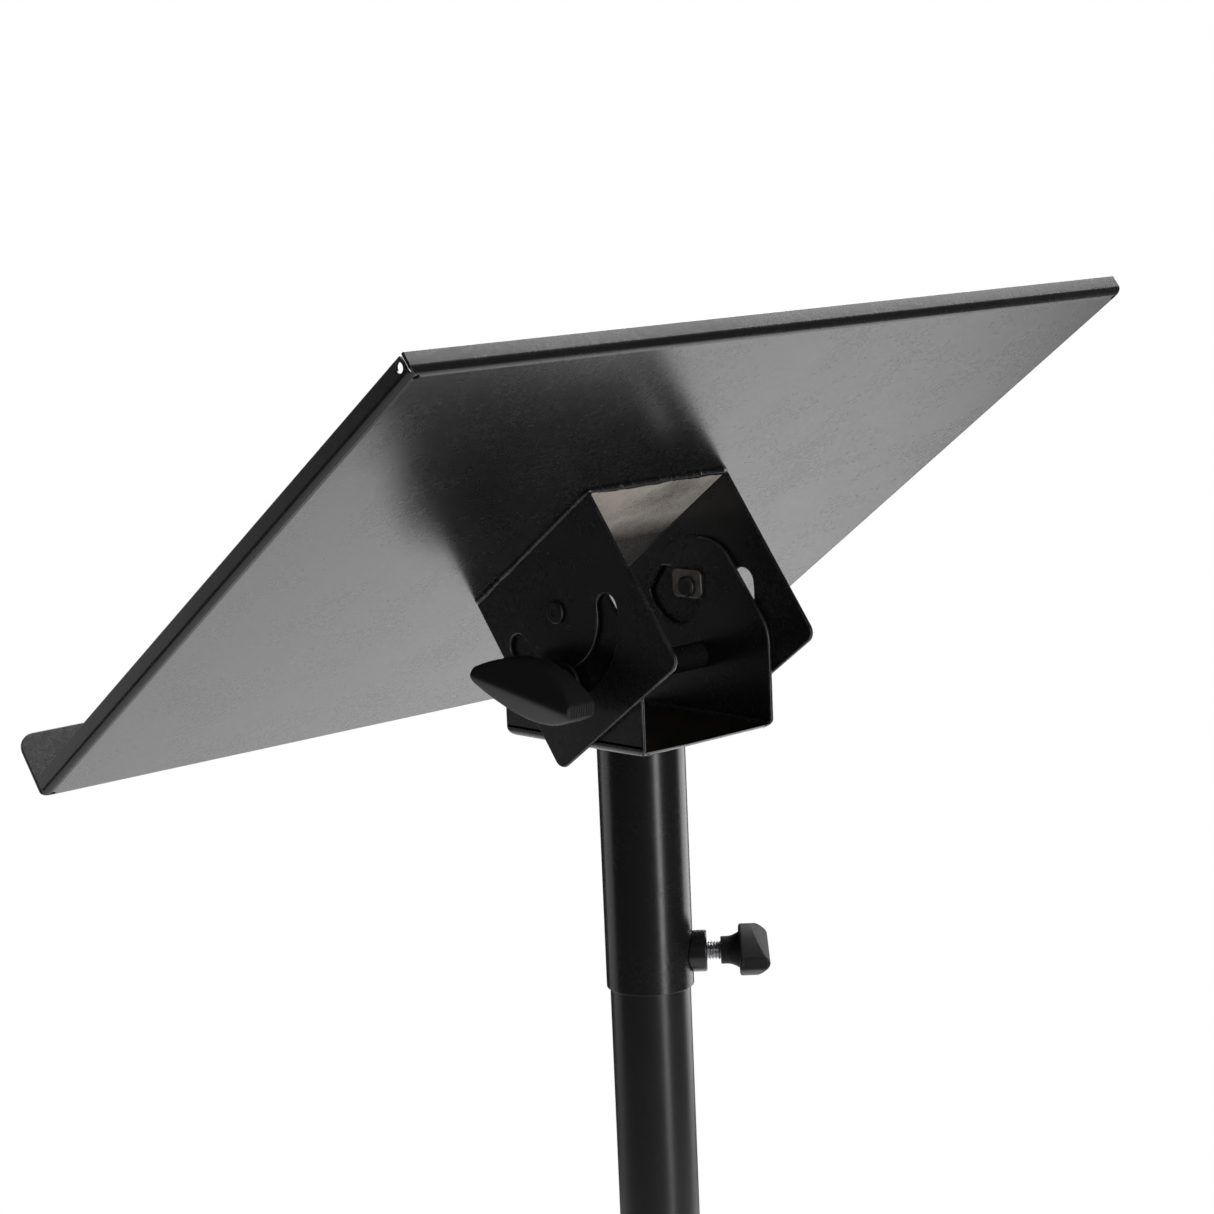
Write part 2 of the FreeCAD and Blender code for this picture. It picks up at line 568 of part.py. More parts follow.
# ---------------------------------------------------------------- wing knobs
def wing_knob(scale, stem_r):
    """Moulded knob on the X axis, stem face at X = 0, with two leaf-shaped wings and a ridge."""
    length = WING_LENGTH * scale / 2
    height = WING_HEIGHT * scale / 2
    end = WING_END_HEIGHT * scale / 2
    back = STEM_LENGTH * scale
    ridge = back + WING_DEPTH * scale
    edge = ridge - WING_RIDGE * scale
    upper = Part.Arc(Vector(length, end, 0), Vector(0, height, 0), Vector(-length, end, 0))
    lower = Part.Arc(Vector(-length, -end, 0), Vector(0, -height, 0), Vector(length, -end, 0))
    sides = [Part.LineSegment(Vector(-length, end, 0), Vector(-length, -end, 0)),
             Part.LineSegment(Vector(length, -end, 0), Vector(length, end, 0))]
    leaf = Part.Face(Part.Wire([upper.toShape(), sides[0].toShape(),
                                lower.toShape(), sides[1].toShape()]))
    leaf.rotate(ORIGIN, Vector(1, 1, 1), 120)
    leaf.translate(Vector(back, 0, 0))
    wings = leaf.extrude(Vector(ridge - back, 0, 0))
    roof = Part.makePolygon([
        Vector(back, 0, -height), Vector(edge, 0, -height), Vector(ridge, 0, 0),
        Vector(edge, 0, height), Vector(back, 0, height), Vector(back, 0, -height)])
    roof_block = Part.Face(roof).extrude(Vector(0, 2 * length, 0))
    roof_block.translate(Vector(0, -length, 0))
    wings = wings.common(roof_block)
    for side in (-1, 1):
        for rib in range(RIB_COUNT):
            start = back + (rib + 1) * RIB_PITCH * scale
            wings = wings.cut(box((start, side * length - RIB_DEPTH, -height),
                                  (start + RIB_WIDTH, side * length + RIB_DEPTH, height)))
    flare_r = stem_r + STEM_FLARE * scale
    stem = Part.makeCylinder(stem_r, back, ORIGIN, X_AXIS)
    flare = Part.makeCone(stem_r, flare_r, back / 2, Vector(back / 2, 0, 0), X_AXIS)
    hub = Part.makeCone(flare_r, stem_r, edge - back, Vector(back, 0, 0), X_AXIS)
    return wings.fuse([stem, flare, hub]).removeSplitter()


def knob_insert():
    """Threaded bush moulded into the tilt knob's stem."""
    end = Vector(STEM_LENGTH - SMALL_STEP, 0, 0)
    return ring(INSERT_R, CLAMP_BOLT_R + PIN_CLEARANCE, ORIGIN, end)


def tilt_knob():
    """Full-size wing knob with a pocket for its insert and room for the bolt's tip."""
    knob = wing_knob(1.0, INSERT_R + STEM_WALL)
    knob = knob.cut(rod(INSERT_R, Vector(-SMALL_STEP, 0, 0), Vector(STEM_LENGTH - SMALL_STEP, 0, 0)))
    return knob.cut(rod(CLAMP_BOLT_R + PIN_CLEARANCE, ORIGIN, Vector(STEM_LENGTH + SMALL_STEP, 0, 0)))


# ---------------------------------------------------------------- side screws with knobs
def side_screw(tip, knob_face):
    """Screw along +X from its tip to the wider end that is moulded into its knob."""
    end = Vector(knob_face + STEM_LENGTH * SMALL_WING_SCALE, 0, 0)
    shank = rod(SCREW_R, Vector(tip, 0, 0), end)
    return shank.fuse(rod(SCREW_R + SCREW_FLANGE, end.sub(Vector(SCREW_FLANGE_LENGTH, 0, 0)), end))


def side_knob(knob_face, screw):
    """Smaller wing knob moulded round the end of a side screw."""
    knob = wing_knob(SMALL_WING_SCALE, SCREW_R + SCREW_FLANGE + STEM_WALL)
    knob.translate(Vector(knob_face, 0, 0))
    return knob.cut(screw)


def place_side_screw(name, tip, boss_face, azimuth, height):
    """Make and keep one side screw and its knob at an azimuth and a height."""
    knob_face = boss_face + SCREW_GRIP_GAP
    screw = side_screw(tip, knob_face)
    knob = side_knob(knob_face, screw)
    keep(name + "_screw", at_azimuth(screw, azimuth, height))
    keep(name + "_knob", at_azimuth(knob, azimuth, height))


def radial_hole(radius, azimuth, height):
    """Tool for a hole from the tube axis outwards at an azimuth and a height."""
    tool = Part.makeCylinder(radius, 2 * LEG_PIN_RADIUS, ORIGIN, X_AXIS)
    return at_azimuth(tool, azimuth, height)


# ---------------------------------------------------------------- socket tube and pole
def socket_tube():
    """Tube welded under the yoke that slips over the pole."""
    tube = ring(SOCKET_R, SOCKET_R - SOCKET_WALL, Vector(0, 0, SOCKET_BOTTOM),
                Vector(0, 0, YOKE_UNDERSIDE))
    return tube.cut(radial_hole(SCREW_R + PIN_CLEARANCE, SOCKET_SCREW_AZIMUTH, SOCKET_SCREW_HEIGHT))


def socket_boss():
    """Threaded boss welded to the socket tube for its screw."""
    boss = rod(SCREW_R + BOSS_WALL, ORIGIN, Vector(SOCKET_R + BOSS_LENGTH, 0, 0))
    boss = at_azimuth(boss, SOCKET_SCREW_AZIMUTH, SOCKET_SCREW_HEIGHT)
    boss = boss.cut(rod(SOCKET_R, Vector(0, 0, SOCKET_BOTTOM), Vector(0, 0, YOKE_UNDERSIDE)))
    return boss.cut(radial_hole(SCREW_R + PIN_CLEARANCE, SOCKET_SCREW_AZIMUTH, SOCKET_SCREW_HEIGHT))


def socket_weld_bead():
    """Fillet weld round the top of the socket tube, against the yoke."""
    bead = Part.makeCone(SOCKET_R, SOCKET_R + WELD_LEG, WELD_LEG,
                         Vector(0, 0, YOKE_UNDERSIDE - WELD_LEG))
    return bead.cut(rod(SOCKET_R, Vector(0, 0, SOCKET_BOTTOM), Vector(0, 0, PIVOT_HEIGHT)))


def stepped_plug(flange_r, spigot_r, mouth, flange, spigot, upwards):
    """Plug for a tube end: a flange outside the mouth and a spigot inside the tube."""
    way = 1 if upwards else -1
    outside = Vector(0, 0, mouth + way * flange)
    at_mouth = Vector(0, 0, mouth)
    inside = Vector(0, 0, mouth - way * spigot)
    return rod(flange_r, outside, at_mouth).fuse(rod(spigot_r, at_mouth, inside)).removeSplitter()


# ---------------------------------------------------------------- main tube and height clamp
def main_tube():
    """Outer tube of the column, with holes for the height screw, the rivets and the hub screws."""
    tube = ring(MAIN_TUBE_R, MAIN_TUBE_R - MAIN_TUBE_WALL,
                Vector(0, 0, MAIN_TUBE_BOTTOM), Vector(0, 0, MAIN_TUBE_TOP))
    tube = tube.cut(radial_hole(SCREW_R + PIN_CLEARANCE, HEIGHT_SCREW_AZIMUTH, HEIGHT_SCREW_HEIGHT))
    for azimuth in COLLAR_RIVET_AZIMUTHS:
        tube = tube.cut(radial_hole(COLLAR_RIVET_R, azimuth, COLLAR_RIVET_HEIGHT))
    for azimuth in HUB_SCREW_AZIMUTHS:
        tube = tube.cut(radial_hole(HUB_SCREW_R, azimuth, HUB_PIN_HEIGHT - HUB_SCREW_DROP))
    return tube


def height_collar():
    """Moulded collar on top of the main tube, with a boss for the height screw."""
    bottom = MAIN_TUBE_TOP - HEIGHT_COLLAR_BELOW
    top = MAIN_TUBE_TOP + HEIGHT_COLLAR_ABOVE
    body = rod(HEIGHT_COLLAR_R, Vector(0, 0, bottom), Vector(0, 0, top))
    body = body.makeFillet(HEIGHT_COLLAR_ROUND, [edge for edge in body.Edges
                                                 if edge.Curve.TypeId == "Part::GeomCircle"])
    boss = rod(COLLAR_BOSS_R, ORIGIN, Vector(HEIGHT_COLLAR_R + COLLAR_BOSS_LENGTH, 0, 0))
    body = body.fuse(at_azimuth(boss, HEIGHT_SCREW_AZIMUTH, HEIGHT_SCREW_HEIGHT))
    body = body.cut(rod(MAIN_TUBE_R, Vector(0, 0, bottom - SMALL_STEP), Vector(0, 0, MAIN_TUBE_TOP)))
    lip = top - HEIGHT_COLLAR_ROUND
    body = body.cut(rod(LINER_R, Vector(0, 0, MAIN_TUBE_TOP - SMALL_STEP), Vector(0, 0, lip)))
    body = body.cut(rod(POLE_R + BODY_GAP, Vector(0, 0, lip - SMALL_STEP),
                        Vector(0, 0, top + SMALL_STEP)))
    body = body.cut(radial_hole(SCREW_R + PIN_CLEARANCE, HEIGHT_SCREW_AZIMUTH, HEIGHT_SCREW_HEIGHT))
    for azimuth in COLLAR_RIVET_AZIMUTHS:
        body = body.cut(radial_hole(COLLAR_RIVET_R, azimuth, COLLAR_RIVET_HEIGHT))
    return body


def height_liner():
    """Guide sleeve inside the height collar, above the main tube."""
    return ring(LINER_R, POLE_R + SLIDE_GAP, Vector(0, 0, MAIN_TUBE_TOP),
                Vector(0, 0, MAIN_TUBE_TOP + HEIGHT_COLLAR_ABOVE - HEIGHT_COLLAR_ROUND))


def radial_rivet(shank_r, head_r, head, inner, outer, azimuth, height):
    """Rivet or screw with a low round head, from inside a wall to outside it."""
    shank = rod(shank_r, Vector(inner, 0, 0), Vector(outer + head / 2, 0, 0))
    cap = rod(head_r, Vector(outer, 0, 0), Vector(outer + head, 0, 0))
    rim = [edge for edge in cap.Edges if abs(edge.CenterOfMass.x - outer - head) < SAME_PLACE]
    cap = cap.makeFillet(head * CAP_ROUND_SHARE, rim)
    return at_azimuth(shank.fuse(cap).removeSplitter(), azimuth, height)


# ---------------------------------------------------------------- tripod
def lug_outline(low, high, reach, root):
    """Outline of a lug in the XZ plane, from its root to a rounded nose."""
    nose = PIN_R + LUG_MARGIN
    return ([(root, low - nose), (reach + nose, low - nose), (reach + nose, high + nose),
             (root, high + nose)], [0, LUG_ROUND, LUG_ROUND, 0])


def plate_along_y(corners, radii, y_low, y_high):
    """Plate whose outline is given as (x, z) points, between two Y values."""
    face = rounded_face(corners, radii)
    face.rotate(ORIGIN, X_AXIS, 90)
    face.translate(Vector(0, y_low, 0))
    return face.extrude(Vector(0, y_high - y_low, 0))


def pin_hole(x, z, radius, half_length):
    """Tool or pin along Y at a place in the XZ plane."""
    return rod(radius, Vector(x, -half_length, z), Vector(x, half_length, z))


def leg_collar():
    """Moulded collar that slides on the main tube, with slotted lugs for the legs' top pins."""
    bottom = LEG_PIN_HEIGHT - LEG_COLLAR_BELOW
    top = LEG_PIN_HEIGHT + LEG_COLLAR_ABOVE
    body = rod(LEG_COLLAR_R, Vector(0, 0, bottom), Vector(0, 0, top))
    body = body.makeFillet(HUB_ROUND, [edge for edge in body.Edges
                                       if edge.Curve.TypeId == "Part::GeomCircle"])
    corners, radii = lug_outline(0, PIN_RISE, LEG_PIN_RADIUS, MAIN_TUBE_R + SLIDE_GAP)
    slot = plate_along_y([(LEG_PIN_RADIUS - PIN_R - PIN_CLEARANCE, -PIN_R - PIN_CLEARANCE),
                          (LEG_PIN_RADIUS + PIN_R + PIN_CLEARANCE, -PIN_R - PIN_CLEARANCE),
                          (LEG_PIN_RADIUS + PIN_R + PIN_CLEARANCE, PIN_RISE + PIN_R + SMALL_STEP),
                          (LEG_PIN_RADIUS - PIN_R - PIN_CLEARANCE, PIN_RISE + PIN_R + SMALL_STEP)],
                         [PIN_R] * 4, -LEG_PIN_RADIUS, LEG_PIN_RADIUS)
    for azimuth in LEG_AZIMUTHS:
        for side in (-1, 1):
            faces = sorted((side * STRAP_FACE, side * (STRAP_FACE + LUG_SHEET)))
            cheek = plate_along_y(corners, radii, faces[0], faces[1]).cut(slot)
            body = body.fuse(at_azimuth(cheek, azimuth, LEG_PIN_HEIGHT))
    boss = rod(COLLAR_BOSS_R, ORIGIN, Vector(LEG_COLLAR_R + COLLAR_BOSS_LENGTH, 0, 0))
    screw_height = LEG_PIN_HEIGHT + COLLAR_SCREW_RISE
    body = body.fuse(at_azimuth(boss, COLLAR_SCREW_AZIMUTH, screw_height))
    body = body.cut(rod(MAIN_TUBE_R + SLIDE_GAP, Vector(0, 0, bottom - SMALL_STEP),
                        Vector(0, 0, top + SMALL_STEP)))
    return body.cut(radial_hole(SCREW_R + PIN_CLEARANCE, COLLAR_SCREW_AZIMUTH, screw_height))


def stop_ring():
    """Ring fixed on the main tube that the leg collar rests on when the legs are open."""
    top = LEG_PIN_HEIGHT - LEG_COLLAR_BELOW - BODY_GAP
    return ring(MAIN_TUBE_R + STOP_RING_WALL, MAIN_TUBE_R, Vector(0, 0, top - STOP_RING_HEIGHT),
                Vector(0, 0, top))


def base_hub():
    """Moulded hub fixed at the bottom of the main tube, with one lug for each brace."""
    bottom = HUB_PIN_HEIGHT - HUB_BELOW
    top = HUB_PIN_HEIGHT + HUB_ABOVE
    body = rod(HUB_R, Vector(0, 0, bottom), Vector(0, 0, top))
    body = body.makeFillet(HUB_ROUND, [edge for edge in body.Edges
                                       if edge.Curve.TypeId == "Part::GeomCircle"])
    corners, radii = lug_outline(0, 0, LEG_PIN_RADIUS, MAIN_TUBE_R)
    for azimuth in LEG_AZIMUTHS:
        lug = plate_along_y(corners, radii, -LEG_WIDTH / 2, LEG_WIDTH / 2)
        lug = lug.cut(pin_hole(LEG_PIN_RADIUS, 0, PIN_R, LEG_WIDTH))
        body = body.fuse(at_azimuth(lug, azimuth, HUB_PIN_HEIGHT))
    body = body.cut(rod(MAIN_TUBE_R, Vector(0, 0, bottom - SMALL_STEP), Vector(0, 0, top + SMALL_STEP)))
    for azimuth in HUB_SCREW_AZIMUTHS:
        body = body.cut(radial_hole(HUB_SCREW_R, azimuth, HUB_PIN_HEIGHT - HUB_SCREW_DROP))
    return body


def cross_pin(x, z, seat):
    """Pin along Y with a low head on each side, outside the seats."""
    pin = pin_hole(x, z, PIN_R, seat + PIN_HEAD / 2)
    for side in (-1, 1):
        pin = pin.fuse(rod(PIN_HEAD_R, Vector(x, side * seat, z),
                           Vector(x, side * (seat + PIN_HEAD), z)))
    return pin


def leg_section(grow, corner, z_low, z_high):
    """Block with the leg's section grown by a wall, between two heights."""
    half_height = LEG_HEIGHT / 2 + grow
    half_width = LEG_WIDTH / 2 + grow
    block = box((-half_height, -half_width, z_low), (half_height, half_width, z_high))
    return block.makeFillet(corner, edges_where(block, lambda c, d: abs(d.z) > NEARLY_ALONG))


def leg_tube():
    """Straight rectangular tube, built hanging down from its top pin."""
    tube = leg_section(0, LEG_CORNER, -LEG_LENGTH, -LEG_TUBE_START)
    hollow = leg_section(-LEG_WALL, LEG_CORNER - LEG_WALL, -LEG_LENGTH - SMALL_STEP, SMALL_STEP)
    tube = tube.cut(hollow)
    return tube.cut(pin_hole(0, -BRACE_LENGTH, PIN_R + PIN_CLEARANCE, LEG_WIDTH))


def leg_knuckle():
    """Moulded end of a leg: a round nose on the top pin and a plug in the tube."""
    nose = pin_hole(0, 0, LEG_HEIGHT / 2, LEG_WIDTH / 2)
    neck = leg_section(0, LEG_CORNER, -LEG_TUBE_START, 0)
    plug = leg_section(-LEG_WALL, LEG_CORNER - LEG_WALL, -LEG_TUBE_START - KNUCKLE_PLUG,
                       -LEG_TUBE_START)
    body = nose.fuse([neck, plug]).removeSplitter()
    return body.cut(pin_hole(0, 0, PIN_R, LEG_WIDTH))


def foot_boot():
    """Rubber boot over a leg's end, before its sole is cut flat."""
    outer = leg_section(FOOT_WALL, LEG_CORNER + FOOT_WALL / 2, -LEG_LENGTH - FOOT_TOE,
                        FOOT_SLEEVE - LEG_LENGTH)
    return outer.cut(leg_section(0, LEG_CORNER, -LEG_LENGTH, SMALL_STEP))


def brace_straps():
    """Pair of flat straps, built standing up from the hub pin to the brace pin."""
    half = BRACE_WIDTH / 2
    corners = [(-half, -half), (half, -half), (half, BRACE_LENGTH + half), (-half, BRACE_LENGTH + half)]
    strap = plate_along_y(corners, [BRACE_END_ROUND] * 4, STRAP_FACE, STRAP_OUTER)
    strap = strap.cut(pin_hole(0, 0, PIN_R + PIN_CLEARANCE, 2 * STRAP_OUTER))
    strap = strap.cut(pin_hole(0, BRACE_LENGTH, PIN_R, 2 * STRAP_OUTER))
    return [strap, strap.mirror(ORIGIN, Y_AXIS)]


def on_leg(shape, azimuth):
    """Swing a shape built hanging from the top pin to the open leg's place."""
    placed = shape.copy()
    placed.rotate(ORIGIN, Y_AXIS, -LEG_OPEN_ANGLE)
    placed.translate(Vector(LEG_PIN_RADIUS, 0, 0))
    return at_azimuth(placed, azimuth, LEG_PIN_HEIGHT)


def on_brace(shape, azimuth):
    """Swing a shape built standing on the hub pin to the open brace's place."""
    placed = shape.copy()
    placed.rotate(ORIGIN, Y_AXIS, LEG_OPEN_ANGLE)
    placed.translate(Vector(LEG_PIN_RADIUS, 0, 0))
    return at_azimuth(placed, azimuth, HUB_PIN_HEIGHT)


# ---------------------------------------------------------------- the whole stand
def build_head():
    """Tray, tray bracket, yoke, pivot and tilt clamp."""
    bracket = tray_bracket()
    keep("tray_pan", on_tray(tray_pan()))
    keep("tray_bracket", on_tray(bracket))
    keep("bracket_weld_beads", *[on_tray(bead) for bead in bracket_weld_beads(bracket)])
    keep("yoke", on_pivot(yoke()))
    rivet = on_pivot(pivot_rivet())
    keep("pivot_rivets", rivet, mirrored_in_x(rivet))
    plate = on_pivot(backing_plate())
    keep("pivot_backing_plates", plate, mirrored_in_x(plate))
    keep("clamp_bolt", on_clamp(clamp_bolt()))
    keep("clamp_washers", *[on_clamp(washer) for washer in clamp_washers()])
    keep("spacer_tube", on_clamp(spacer_tube()))
    for name, piece in (("tilt_knob", tilt_knob()), ("tilt_knob_insert", knob_insert())):
        piece.rotate(ORIGIN, X_AXIS, KNOB_TURN)
        piece.translate(Vector(CLAMP_FACE, 0, 0))
        keep(name, on_clamp(piece))


def build_socket():
    """Socket tube under the yoke and its screw."""
    keep("socket_tube", socket_tube())
    keep("socket_weld_bead", socket_weld_bead())
    keep("socket_boss", socket_boss())
    place_side_screw("socket", POLE_R + BODY_GAP, SOCKET_R + BOSS_LENGTH, SOCKET_SCREW_AZIMUTH,
                     SOCKET_SCREW_HEIGHT)


def build_column():
    """Pole, main tube, their plugs and the height clamp."""
    keep("pole_tube", ring(POLE_R, POLE_R - POLE_WALL, Vector(0, 0, POLE_BOTTOM),
                           Vector(0, 0, POLE_TOP)))
    keep("pole_top_plug", stepped_plug(POLE_R, POLE_R - POLE_WALL, POLE_TOP, POLE_PLUG_FLANGE,
                                       POLE_PLUG_LENGTH, True))
    keep("pole_guide_bush", stepped_plug(MAIN_TUBE_R - MAIN_TUBE_WALL - SLIDE_GAP, POLE_R - POLE_WALL,
                                         POLE_BOTTOM, BUSH_LENGTH, BUSH_SPIGOT, False))
    keep("main_tube", main_tube())
    keep("main_tube_plug", stepped_plug(MAIN_TUBE_R, MAIN_TUBE_R - MAIN_TUBE_WALL, MAIN_TUBE_BOTTOM,
                                        TUBE_PLUG_FLANGE, TUBE_PLUG_LENGTH, False))
    keep("height_collar", height_collar())
    keep("height_collar_liner", height_liner())
    keep("height_collar_rivets", *[
        radial_rivet(COLLAR_RIVET_R, COLLAR_RIVET_HEAD_R, COLLAR_RIVET_HEAD, MAIN_TUBE_R - MAIN_TUBE_WALL,
                     HEIGHT_COLLAR_R, azimuth, COLLAR_RIVET_HEIGHT)
        for azimuth in COLLAR_RIVET_AZIMUTHS])
    place_side_screw("height", POLE_R + BODY_GAP, HEIGHT_COLLAR_R + COLLAR_BOSS_LENGTH,
                     HEIGHT_SCREW_AZIMUTH, HEIGHT_SCREW_HEIGHT)


def build_tripod():
    """Hub, sliding leg collar, braces, legs and feet."""
    keep("base_hub", base_hub())
    keep("hub_screws", *[
        radial_rivet(HUB_SCREW_R, HUB_SCREW_HEAD_R, HUB_SCREW_HEAD, MAIN_TUBE_R - MAIN_TUBE_WALL, HUB_R,
                     azimuth, HUB_PIN_HEIGHT - HUB_SCREW_DROP)
        for azimuth in HUB_SCREW_AZIMUTHS])
    hub_pin = cross_pin(LEG_PIN_RADIUS, 0, STRAP_OUTER + BODY_GAP)
    keep("hub_pins", *[at_azimuth(hub_pin, azimuth, HUB_PIN_HEIGHT) for azimuth in LEG_AZIMUTHS])
    keep("stop_ring", stop_ring())
    keep("leg_collar", leg_collar())
    place_side_screw("leg_collar", MAIN_TUBE_R + BODY_GAP, LEG_COLLAR_R + COLLAR_BOSS_LENGTH,
                     COLLAR_SCREW_AZIMUTH, LEG_PIN_HEIGHT + COLLAR_SCREW_RISE)
    top_pin = cross_pin(0, 0, STRAP_FACE + LUG_SHEET + BODY_GAP)
    floor_block = box((-LEG_LENGTH, -LEG_LENGTH, -LEG_LENGTH), (LEG_LENGTH, LEG_LENGTH, 0))
    for number, azimuth in enumerate(LEG_AZIMUTHS, start=1):
        keep(f"leg_{number}", on_leg(leg_tube(), azimuth))
        keep(f"leg_knuckle_{number}", on_leg(leg_knuckle(), azimuth))
        keep(f"leg_top_pin_{number}", on_leg(top_pin, azimuth))
        keep(f"foot_{number}", on_leg(foot_boot(), azimuth).cut(floor_block))
        keep(f"brace_{number}", *[on_brace(strap, azimuth) for strap in brace_straps()])
        keep(f"brace_pin_{number}", on_brace(cross_pin(0, BRACE_LENGTH, STRAP_OUTER), azimuth))


def main():
    """Build every node and write it to its own file."""
    build_head()
    build_socket()
    build_column()
    build_tripod()
    os.makedirs("parts", exist_ok=True)
    for name, shape in PIECES.items():
        shape.exportStep(f"parts/{name}.step")
        print(name, "solids", len(shape.Solids), "valid", shape.isValid(),
              "volume", round(shape.Volume))
    print("collar travel", round(COLLAR_TRAVEL, 3), "pin rise", round(PIN_RISE, 3))
    print("leg pin height", round(LEG_PIN_HEIGHT, 3), "hub pin height", round(HUB_PIN_HEIGHT, 3))


main()
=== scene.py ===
"""Music stand: finished meshes, finishes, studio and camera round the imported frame.

Everything is in metres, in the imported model's own frame. The origin is on the floor on the axis
of the tubes, +X is to the reader's right, +Y points away from the reader and +Z is up.
"""

import json
import logging
import math
from dataclasses import dataclass
from enum import Enum
from typing import Callable, Sequence

import bmesh
import bpy
from mathutils import Matrix, Vector, noise


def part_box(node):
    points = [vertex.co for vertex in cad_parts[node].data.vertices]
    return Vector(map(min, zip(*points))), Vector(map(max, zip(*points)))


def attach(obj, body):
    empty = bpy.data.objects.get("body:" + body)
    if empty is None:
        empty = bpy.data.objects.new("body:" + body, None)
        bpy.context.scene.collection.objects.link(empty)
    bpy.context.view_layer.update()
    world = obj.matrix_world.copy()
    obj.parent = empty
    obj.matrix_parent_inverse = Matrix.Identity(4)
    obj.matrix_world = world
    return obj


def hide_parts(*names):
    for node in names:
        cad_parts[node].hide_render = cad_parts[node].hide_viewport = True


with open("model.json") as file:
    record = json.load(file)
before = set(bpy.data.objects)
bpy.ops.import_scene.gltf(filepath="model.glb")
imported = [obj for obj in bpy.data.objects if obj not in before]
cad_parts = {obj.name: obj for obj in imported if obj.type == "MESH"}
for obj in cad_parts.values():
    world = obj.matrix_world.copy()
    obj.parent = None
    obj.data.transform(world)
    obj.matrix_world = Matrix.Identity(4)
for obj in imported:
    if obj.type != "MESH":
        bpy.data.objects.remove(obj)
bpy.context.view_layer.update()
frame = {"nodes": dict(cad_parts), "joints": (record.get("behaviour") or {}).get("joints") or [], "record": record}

LOG = logging.getLogger("music_stand")
MM = 0.001
SAME_POINT = 0.002 * MM
FLAT_ANGLE = math.radians(0.6)
SHARP_ANGLE = math.radians(25.0)
INNER_FACE_COSINE = 0.5
EDGE_MASK = "eased_edge"
Point = tuple[float, float, float]
Colour = tuple[float, float, float]
X_AXIS = Vector((1.0, 0.0, 0.0))
Z_AXIS = Vector((0.0, 0.0, 1.0))


class Slot(Enum):
    """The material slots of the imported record."""

    POWDER_COAT = "black_powder_coat"
    COATED_TUBE = "black_tube"
    BLACKENED = "black_oxide_steel"
    SPACER = "spacer_steel"
    ZINC = "zinc_steel"
    NYLON = "moulded_nylon"
    PLASTIC = "plain_plastic"
    RUBBER = "black_rubber"


# ---------------------------------------------------------------- shader wiring
class Wiring:
    """Adds nodes to one shader tree and joins their sockets."""

    def __init__(self, tree: bpy.types.NodeTree) -> None:
        """Keep the tree that the nodes go into."""
        self.tree = tree

    def add(self, kind: str, settings: dict | None = None, **inputs: object) -> bpy.types.Node:
        """Add a node, then set or join its inputs.

        Args:
            kind: Blender's name for the type of node.
            settings: the node's own options.
            inputs: a value or an output socket for each input, by name, with _ for a space.

        Returns:
            The new node.
        """
        node = self.tree.nodes.new(kind)
        for option, value in (settings or {}).items():
            setattr(node, option, value)
        for name, value in inputs.items():
            self.join(node, name.replace("_", " "), value)
        return node

    def join(self, node: bpy.types.Node, name: str | int, value: object) -> None:
        """Set one input of a node, or join an output socket to it.

        Args:
            node: the node with the input.
            name: the input's name or number.
            value: an output socket to join, or a value to set.
        """
        socket = node.inputs[name]
        if isinstance(value, bpy.types.NodeSocket):
            self.tree.links.new(value, socket)
        else:
            socket.default_value = value

    def maths(self, operation: str, first: object, second: object) -> bpy.types.NodeSocket:
        """Result of a Math node with two inputs.

        Args:
            operation: Blender's name for the operation.
            first: the first number or socket.
            second: the second number or socket.

        Returns:
            The result's socket.
        """
        node = self.tree.nodes.new("ShaderNodeMath")
        node.operation = operation
        self.join(node, 0, first)
        self.join(node, 1, second)
        return node.outputs[0]

    def remap(self, value: object, low: float, high: float, to_low: object, to_high: object
              ) -> bpy.types.NodeSocket:
        """Value stretched from one range to another, and held at its ends.

        Args:
            value: what is stretched.
            low: lower end of the range it comes from.
            high: upper end of that range.
            to_low: result at the lower end.
            to_high: result at the upper end.

        Returns:
            The result's socket.
        """
        node = self.add("ShaderNodeMapRange", From_Min=low, From_Max=high)
        self.join(node, "Value", value)
        self.join(node, "To Min", to_low)
        self.join(node, "To Max", to_high)
        return node.outputs["Result"]

    def raise_surface(self, shader: bpy.types.Node, height: bpy.types.NodeSocket) -> None:
        """Tilt a shader's normals by a height in metres."""
        bump = self.add("ShaderNodeBump", Strength=1.0, Distance=1.0, Height=height)
        self.join(shader, "Normal", bump.outputs["Normal"])

    def own_place(self) -> bpy.types.NodeSocket:
        """Place of the shaded point in the piece's own frame."""
        return self.add("ShaderNodeTexCoord").outputs["Object"]

    def noise(self, where: object, scale: object, detail: float, roughness: float = 0.5
              ) -> bpy.types.NodeSocket:
        """Height of a noise texture at a place.

        Args:
            where: the place to read the texture at.
            scale: features in each metre.
            detail: octaves of finer noise.
            roughness: strength of each finer octave.

        Returns:
            The height's socket, about 0.5 on average.
        """
        node = self.add("ShaderNodeTexNoise", Vector=where, Scale=scale, Detail=detail,
                        Roughness=roughness)
        return node.outputs["Fac"]


